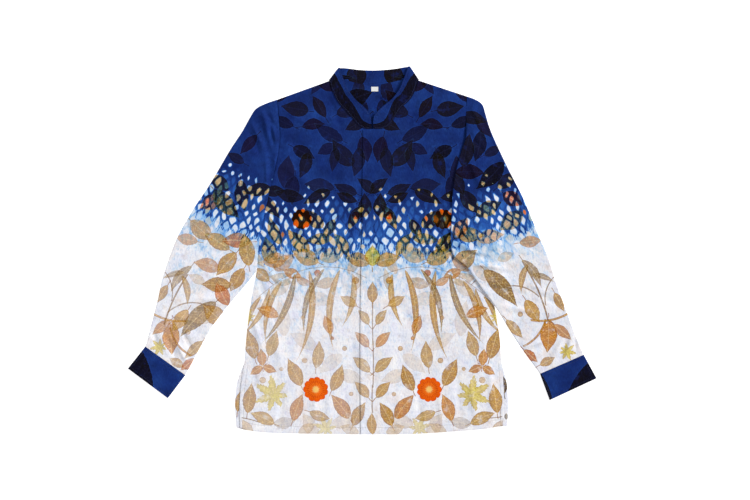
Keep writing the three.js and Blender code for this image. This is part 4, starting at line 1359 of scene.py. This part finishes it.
def left_support(x, y, v):
    """The left front's top where the sleeve lies on it, and the surface elsewhere."""
    side = SIDES["left"]
    past = x - side_reach(side, y)
    over = 1 - smooth(past, SLEEVE_SHELF, SLEEVE_SHELF + SLEEVE_DROP)
    under = front_top(side, np.minimum(x, x - past), y, over_fly) + LAYER
    return under * over * smooth(v, 0, SLEEVE_LIFT_SHARE)


right_armhole = spline(SIDES["right"]["armhole"][::-1])
sleeve_right = sleeve("right", right_armhole, (-ARMHOLE_SEAM, 0), zero, 7, seam_dip=1.2)
left_start = straight(
    np.array(SLEEVES["left"]["outer"][0], float), np.array(SLEEVES["left"]["inner"][0], float))
sleeve_left = sleeve("left", left_start, (SEAM, 0), left_support, 11)


def cuff_relief(x, y):
    return 0.25 * noise(x, y, 22, 4)


def cuff(side_name):
    so, si, ei, eo = (np.array(p, float) for p in CUFFS[side_name])
    along = (eo - so) / np.linalg.norm(eo - so) * SEAM
    at = patch(*(moved(straight(a, b), along) for a, b in ((so, si), (eo, ei), (so, eo), (si, ei))))

    def place(u, v):
        return at(np.array([u]), np.array([v]))[0]

    across, down = (0.045, 0.955), (0.09, 0.91)
    lines = [[place(u, v) for u in across] for v in down] + [[place(u, v) for v in down] for u in across]
    middle = place(0.5, 0.5)
    leaves = [(middle[0] + x, middle[1] + y, *row) for x, y, *row in CUFF_PRINT[side_name]]
    obj = tube(
        f"shirt_cuff_{side_name}", at, CUFF_DEPTH, STIFF_WALL, CUFF_AIR, zero, cuff_relief, STIFF,
        leaves, deep_cut(f"cuff_{side_name}"), sew_near(lines))
    return obj, lines


cuff_left, cuff_left_lines = cuff("left")
cuff_right, cuff_right_lines = cuff("right")


MIDDLE = 7  # the row half way up the collar's band


def by_station(points, s):
    """Smooth curve through points in space, read evenly by station."""
    return catmull_rom(points, s * (len(points) - 1))


def collar():
    """One band from centre front to centre front, from its seam to its top edge."""
    rest = WALL + SEAM + STIFF_WALL / 2

    def half(side_name, lift, count=56):
        rows = np.array(COLLAR[side_name], float)
        x, y = rows[:, 0], rows[:, 1]
        seat = front_underside(SIDES[side_name], x, y, creased=False) + lift(x) + rest
        seam = np.stack([x, y, seat], -1)
        edge = rows[:, 2:5]
        s = np.linspace(0, 1, count)
        return by_station(seam, s), by_station(edge, s)

    def turn(seam, edge, outward, count=9):
        low = STIFF_WALL / 2
        angle = np.linspace(0, np.pi, count + 1)[1:]

        def turned(p):
            radius = (p[2] - low) / 2
            return np.stack([
                p[0] + outward * radius * np.sin(angle), np.full(count, p[1]),
                low + radius * (1 + np.cos(angle))], -1)

        return turned(seam), turned(edge)

    left_seam, left_edge = half("left", over_fly)
    right_seam, right_edge = half("right", zero)
    lt = turn(left_seam[-1], left_edge[-1], 1)
    rt = turn(right_seam[-1], right_edge[-1], -1)
    rows = np.array(COLLAR_BACK, float)
    flat = np.full(len(rows), STIFF_WALL / 2)
    seam = np.stack([rows[:, 0], rows[:, 1], flat], -1)
    edge = np.stack([rows[:, 2], rows[:, 3], flat], -1)
    seam = np.concatenate([lt[0][-1:], seam, rt[0][-1:]])
    edge = np.concatenate([lt[1][-1:], edge, rt[1][-1:]])
    s = np.linspace(0, 1, 60)[1:-1]
    back_seam, back_edge = by_station(seam, s), by_station(edge, s)
    seams = np.concatenate([left_seam, lt[0], back_seam, rt[0][::-1], right_seam[::-1]])
    edges = np.concatenate([left_edge, lt[1], back_edge, rt[1][::-1], right_edge[::-1]])
    share = np.array([0, 0.02, 0.06, *np.linspace(0.12, 0.88, 9), 0.94, 0.98, 1.0])
    band = mix(seams[:, None], edges[:, None], share[None, :, None])
    along = np.gradient(band, axis=0)
    up = (edges - seams)[:, None]
    normal = np.cross(along, np.broadcast_to(up, along.shape))
    normal /= np.linalg.norm(normal, axis=2)[..., None]
    run = run_of(band[:, MIDDLE])
    run -= run[-1] / 2
    high = np.linalg.norm(edges - seams, axis=1)
    plan = np.stack([
        np.broadcast_to(run[:, None], band.shape[:2]), share[None, :] * high[:, None]], -1)
    soft = 0.75 + 0.25 * smooth(np.minimum(share, 1 - share), 0, 0.05)
    ends = np.minimum(np.arange(len(band)), np.arange(len(band))[::-1])
    soft = soft[None, :] * (0.75 + 0.25 * smooth(ends, 0, 2))[:, None]
    half_wall = (STIFF_WALL / 2 * soft)[..., None]
    cloth = Cloth("shirt_collar")
    a = cloth.grid(band + normal * half_wall, plan)
    b = cloth.grid(band - normal * half_wall, plan)
    cloth.sheet(a.T, (0.002, 0.002, 0.998, 0.46))
    cloth.sheet(b.T, (0.002, 0.50, 0.998, 0.96), flip=True)
    cloth.sheet(np.stack([rim(b.T), rim(a.T)]), (0.002, 0.965, 0.998, 0.995), flip=True)
    reach = run[-1]
    lines = [
        [(-reach + 3, 3), (reach - 3, 3)], [(-reach + 3, 29), (reach - 3, 29)],
        [(-reach + 3, 3), (-reach + 3, 20)], [(reach - 3, 3), (reach - 3, 20)],
    ]
    obj = build(cloth, STIFF, COLLAR_PRINT, deep_cut("collar"), sew_near(lines))
    return obj, band, normal, run


collar_obj, band, band_normal, band_run = collar()
LABEL_HALF = (7.5, 5)
LABEL_THICKNESS = 0.4


def label():
    cx, cy = LABEL_CENTRE
    across, along = LABEL_HALF
    x, y = np.meshgrid(np.linspace(-across, across, 25), np.linspace(-along, along, 17))
    z = WALL + SEAM + 0.5 + 0.12 * (x / across) ** 2 + 0.05 * np.sin(y * 1.1)
    plan = np.stack([x + cx, y + cy], -1)
    cloth = Cloth("shirt_neck_label")
    a = cloth.grid(np.stack([x + cx, y + cy, z], -1), plan)
    b = cloth.grid(np.stack([x + cx, y + cy, z - LABEL_THICKNESS], -1), plan)
    cloth.sheet(a, (0.01, 0.01, 0.45, 0.9))
    cloth.sheet(b, (0.5, 0.01, 0.94, 0.9), flip=True)
    cloth.sheet(np.stack([rim(b), rim(a)]), (0.01, 0.92, 0.94, 0.98), flip=True)
    return build(cloth, LABEL)


label_obj = label()


# ---------------------------------------------------------------- stitching
def stitches(name, runs, material, pitch=3.0, length=2.2, radius=0.22):
    """Short thread grains along runs of points in space."""
    points, faces = [], []
    for run in runs:
        run = np.array(run, float)
        along = run_of(run)
        number = int(along[-1] / pitch)
        for k in range(number):
            start = (k + 0.5) * along[-1] / number - length / 2
            a, b = (
                np.array([np.interp(start + w, along, run[:, axis]) for axis in range(3)])
                for w in (0, length))
            d = (b - a) / max(np.linalg.norm(b - a), 1e-6)
            side = np.cross(d, (0, 0, 1))
            side /= max(np.linalg.norm(side), 1e-6)
            up = np.cross(side, d)
            ring = [m + radius * (np.cos(t) * side + np.sin(t) * up)
                    for m in (mix(a, b, 0.25), mix(a, b, 0.75)) for t in np.arange(5) * 2 * np.pi / 5]
            c = len(points)
            points += [a - up * 0.18, b - up * 0.18, *ring]
            for i in range(5):
                j = (i + 1) % 5
                faces += [(c, c + 2 + j, c + 2 + i), (c + 1, c + 7 + i, c + 7 + j),
                          (c + 2 + i, c + 2 + j, c + 7 + j, c + 7 + i)]
    mesh = bpy.data.meshes.new(name)
    world = (np.array(points) + SHIFT) * MM
    mesh.from_pydata([tuple(p) for p in world], [], faces)
    mesh.polygons.foreach_set("use_smooth", np.ones(len(mesh.polygons), bool))
    mesh.materials.append(material)
    return linked(name, mesh)


def on_top(line, height, lift=0.1, step=2.0):
    """A line of the plan, raised just above a surface."""
    line = np.array(line, float)
    along = run_of(line)
    s = np.linspace(0, along[-1], max(int(along[-1] / step), 2))
    x, y = np.interp(s, along, line[:, 0]), np.interp(s, along, line[:, 1])
    return np.stack([x, y, height(x, y) + lift], -1)


hem_runs = [on_top(line, left_top) for line in left_lines]
hem_runs += [on_top(line, right_top) for line in right_lines]
hem_thread = stitches("shirt_hem_stitching", hem_runs, THREAD_PALE)
cuff_high = 2 * STIFF_WALL + CUFF_AIR
cuff_runs = [
    on_top(line, lambda x, y: cuff_high + cuff_relief(x, y)) for line in cuff_left_lines + cuff_right_lines]
# the outer face of the band is the one that faces up at the centre front
OUTER = 1.0 if band_normal[2, MIDDLE, 2] > 0 else -1.0


def on_band(height, start, end, count=260):
    """A line round the collar at a height above its seam, on its outer face."""
    s = np.linspace(band_run[0] + start, band_run[-1] - end, count)
    out = []
    for value in s:
        i = int(np.clip(np.searchsorted(band_run, value) - 1, 0, len(band_run) - 2))
        w = (value - band_run[i]) / (band_run[i + 1] - band_run[i])
        low, high = mix(band[i, 0], band[i + 1, 0], w), mix(band[i, -1], band[i + 1, -1], w)
        tall = np.linalg.norm(high - low)
        across = height if height > 0 else tall + height
        n = mix(band_normal[i, MIDDLE], band_normal[i + 1, MIDDLE], w)
        place = mix(low, high, across / tall) + n * OUTER * (STIFF_WALL / 2 + 0.05)
        out.append([place[0], place[1], max(place[2], 0.4)])
    return out


collar_runs = [on_band(2.6, 2.5, 2.5), on_band(-2.6, 2.5, 2.5)]
dark_thread = stitches("shirt_dark_stitching", cuff_runs + collar_runs, THREAD_BLUE, pitch=2.8, length=2.1)

# ---------------------------------------------------------------- riding, and the CAD parts hidden
for piece, node in (
    (front_left, "front_left"), (front_right, "front_right"), (back_obj, "back"),
    (sleeve_left, "sleeve_left"), (sleeve_right, "sleeve_right"), (cuff_left, "cuff_left"),
    (cuff_right, "cuff_right"), (collar_obj, "collar"), (label_obj, "neck_label"),
):
    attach(piece, "root")
    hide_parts(node)
for piece, slot in ((hem_thread, "printed_cloth"), (dark_thread, "indigo_cloth")):
    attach(piece, "root")

# ---------------------------------------------------------------- floor, light and camera
FLOOR_REACH, FLOOR_HEIGHT = 4, -0.0003
corners = [(x * FLOOR_REACH, y * FLOOR_REACH, FLOOR_HEIGHT) for x, y in ((-1, -1), (1, -1), (1, 1), (-1, 1))]
floor_mesh = bpy.data.meshes.new("floor")
floor_mesh.from_pydata(corners, [], [(0, 1, 2, 3)])
floor = linked("floor", floor_mesh)
floor_material, _, floor_shader = new_material("studio_paper")
floor_shader.inputs["Base Color"].default_value = (0.9, 0.9, 0.9, 1)
floor_shader.inputs["Emission Color"].default_value = (1, 1, 1, 1)
floor_shader.inputs["Emission Strength"].default_value = 0.7
floor_shader.inputs["Roughness"].default_value = 0.9
floor_mesh.materials.append(floor_material)

world = bpy.data.worlds.new("studio")
world.use_nodes = True
world.node_tree.nodes["Background"].inputs["Color"].default_value = (1, 1, 1, 1)
world.node_tree.nodes["Background"].inputs["Strength"].default_value = 0.38
bpy.context.scene.world = world


sun = bpy.data.lights.new("key", "SUN")
sun.energy = 3.0
sun.angle = 0.28
key = linked("key", sun)
key.rotation_euler = Vector((2.6, 2.0, 1.95)).to_track_quat("Z", "Y").to_euler()

FILL_PLACE = Vector((-2.6, -1.0, 2.8))
disk = bpy.data.lights.new("fill", "AREA")
disk.shape = "DISK"
disk.size = 2.5
disk.energy = 24
fill = linked("fill", disk)
fill.location = FILL_PLACE
fill.rotation_euler = (-FILL_PLACE).to_track_quat("-Z", "Y").to_euler()

scene = bpy.context.scene
scene.view_settings.view_transform = "Standard"
scene.view_settings.look = "None"
camera_data = bpy.data.cameras.new("camera")
camera_data.lens = 50
camera_data.sensor_width = 36
camera_data.clip_end = 50
camera = linked("camera", camera_data)
VIEW_WIDTH = 1.6125  # of the picture, at the height of the cloth
VIEW_CENTRE = (5.4, 395.6)
CLOTH_HEIGHT = 0.004
camera.location = (
    (VIEW_CENTRE[0] + SHIFT[0]) * MM, (VIEW_CENTRE[1] + SHIFT[1]) * MM,
    VIEW_WIDTH * camera_data.lens / camera_data.sensor_width + CLOTH_HEIGHT)
camera.rotation_euler = (0, 0, 0)
scene.camera = camera
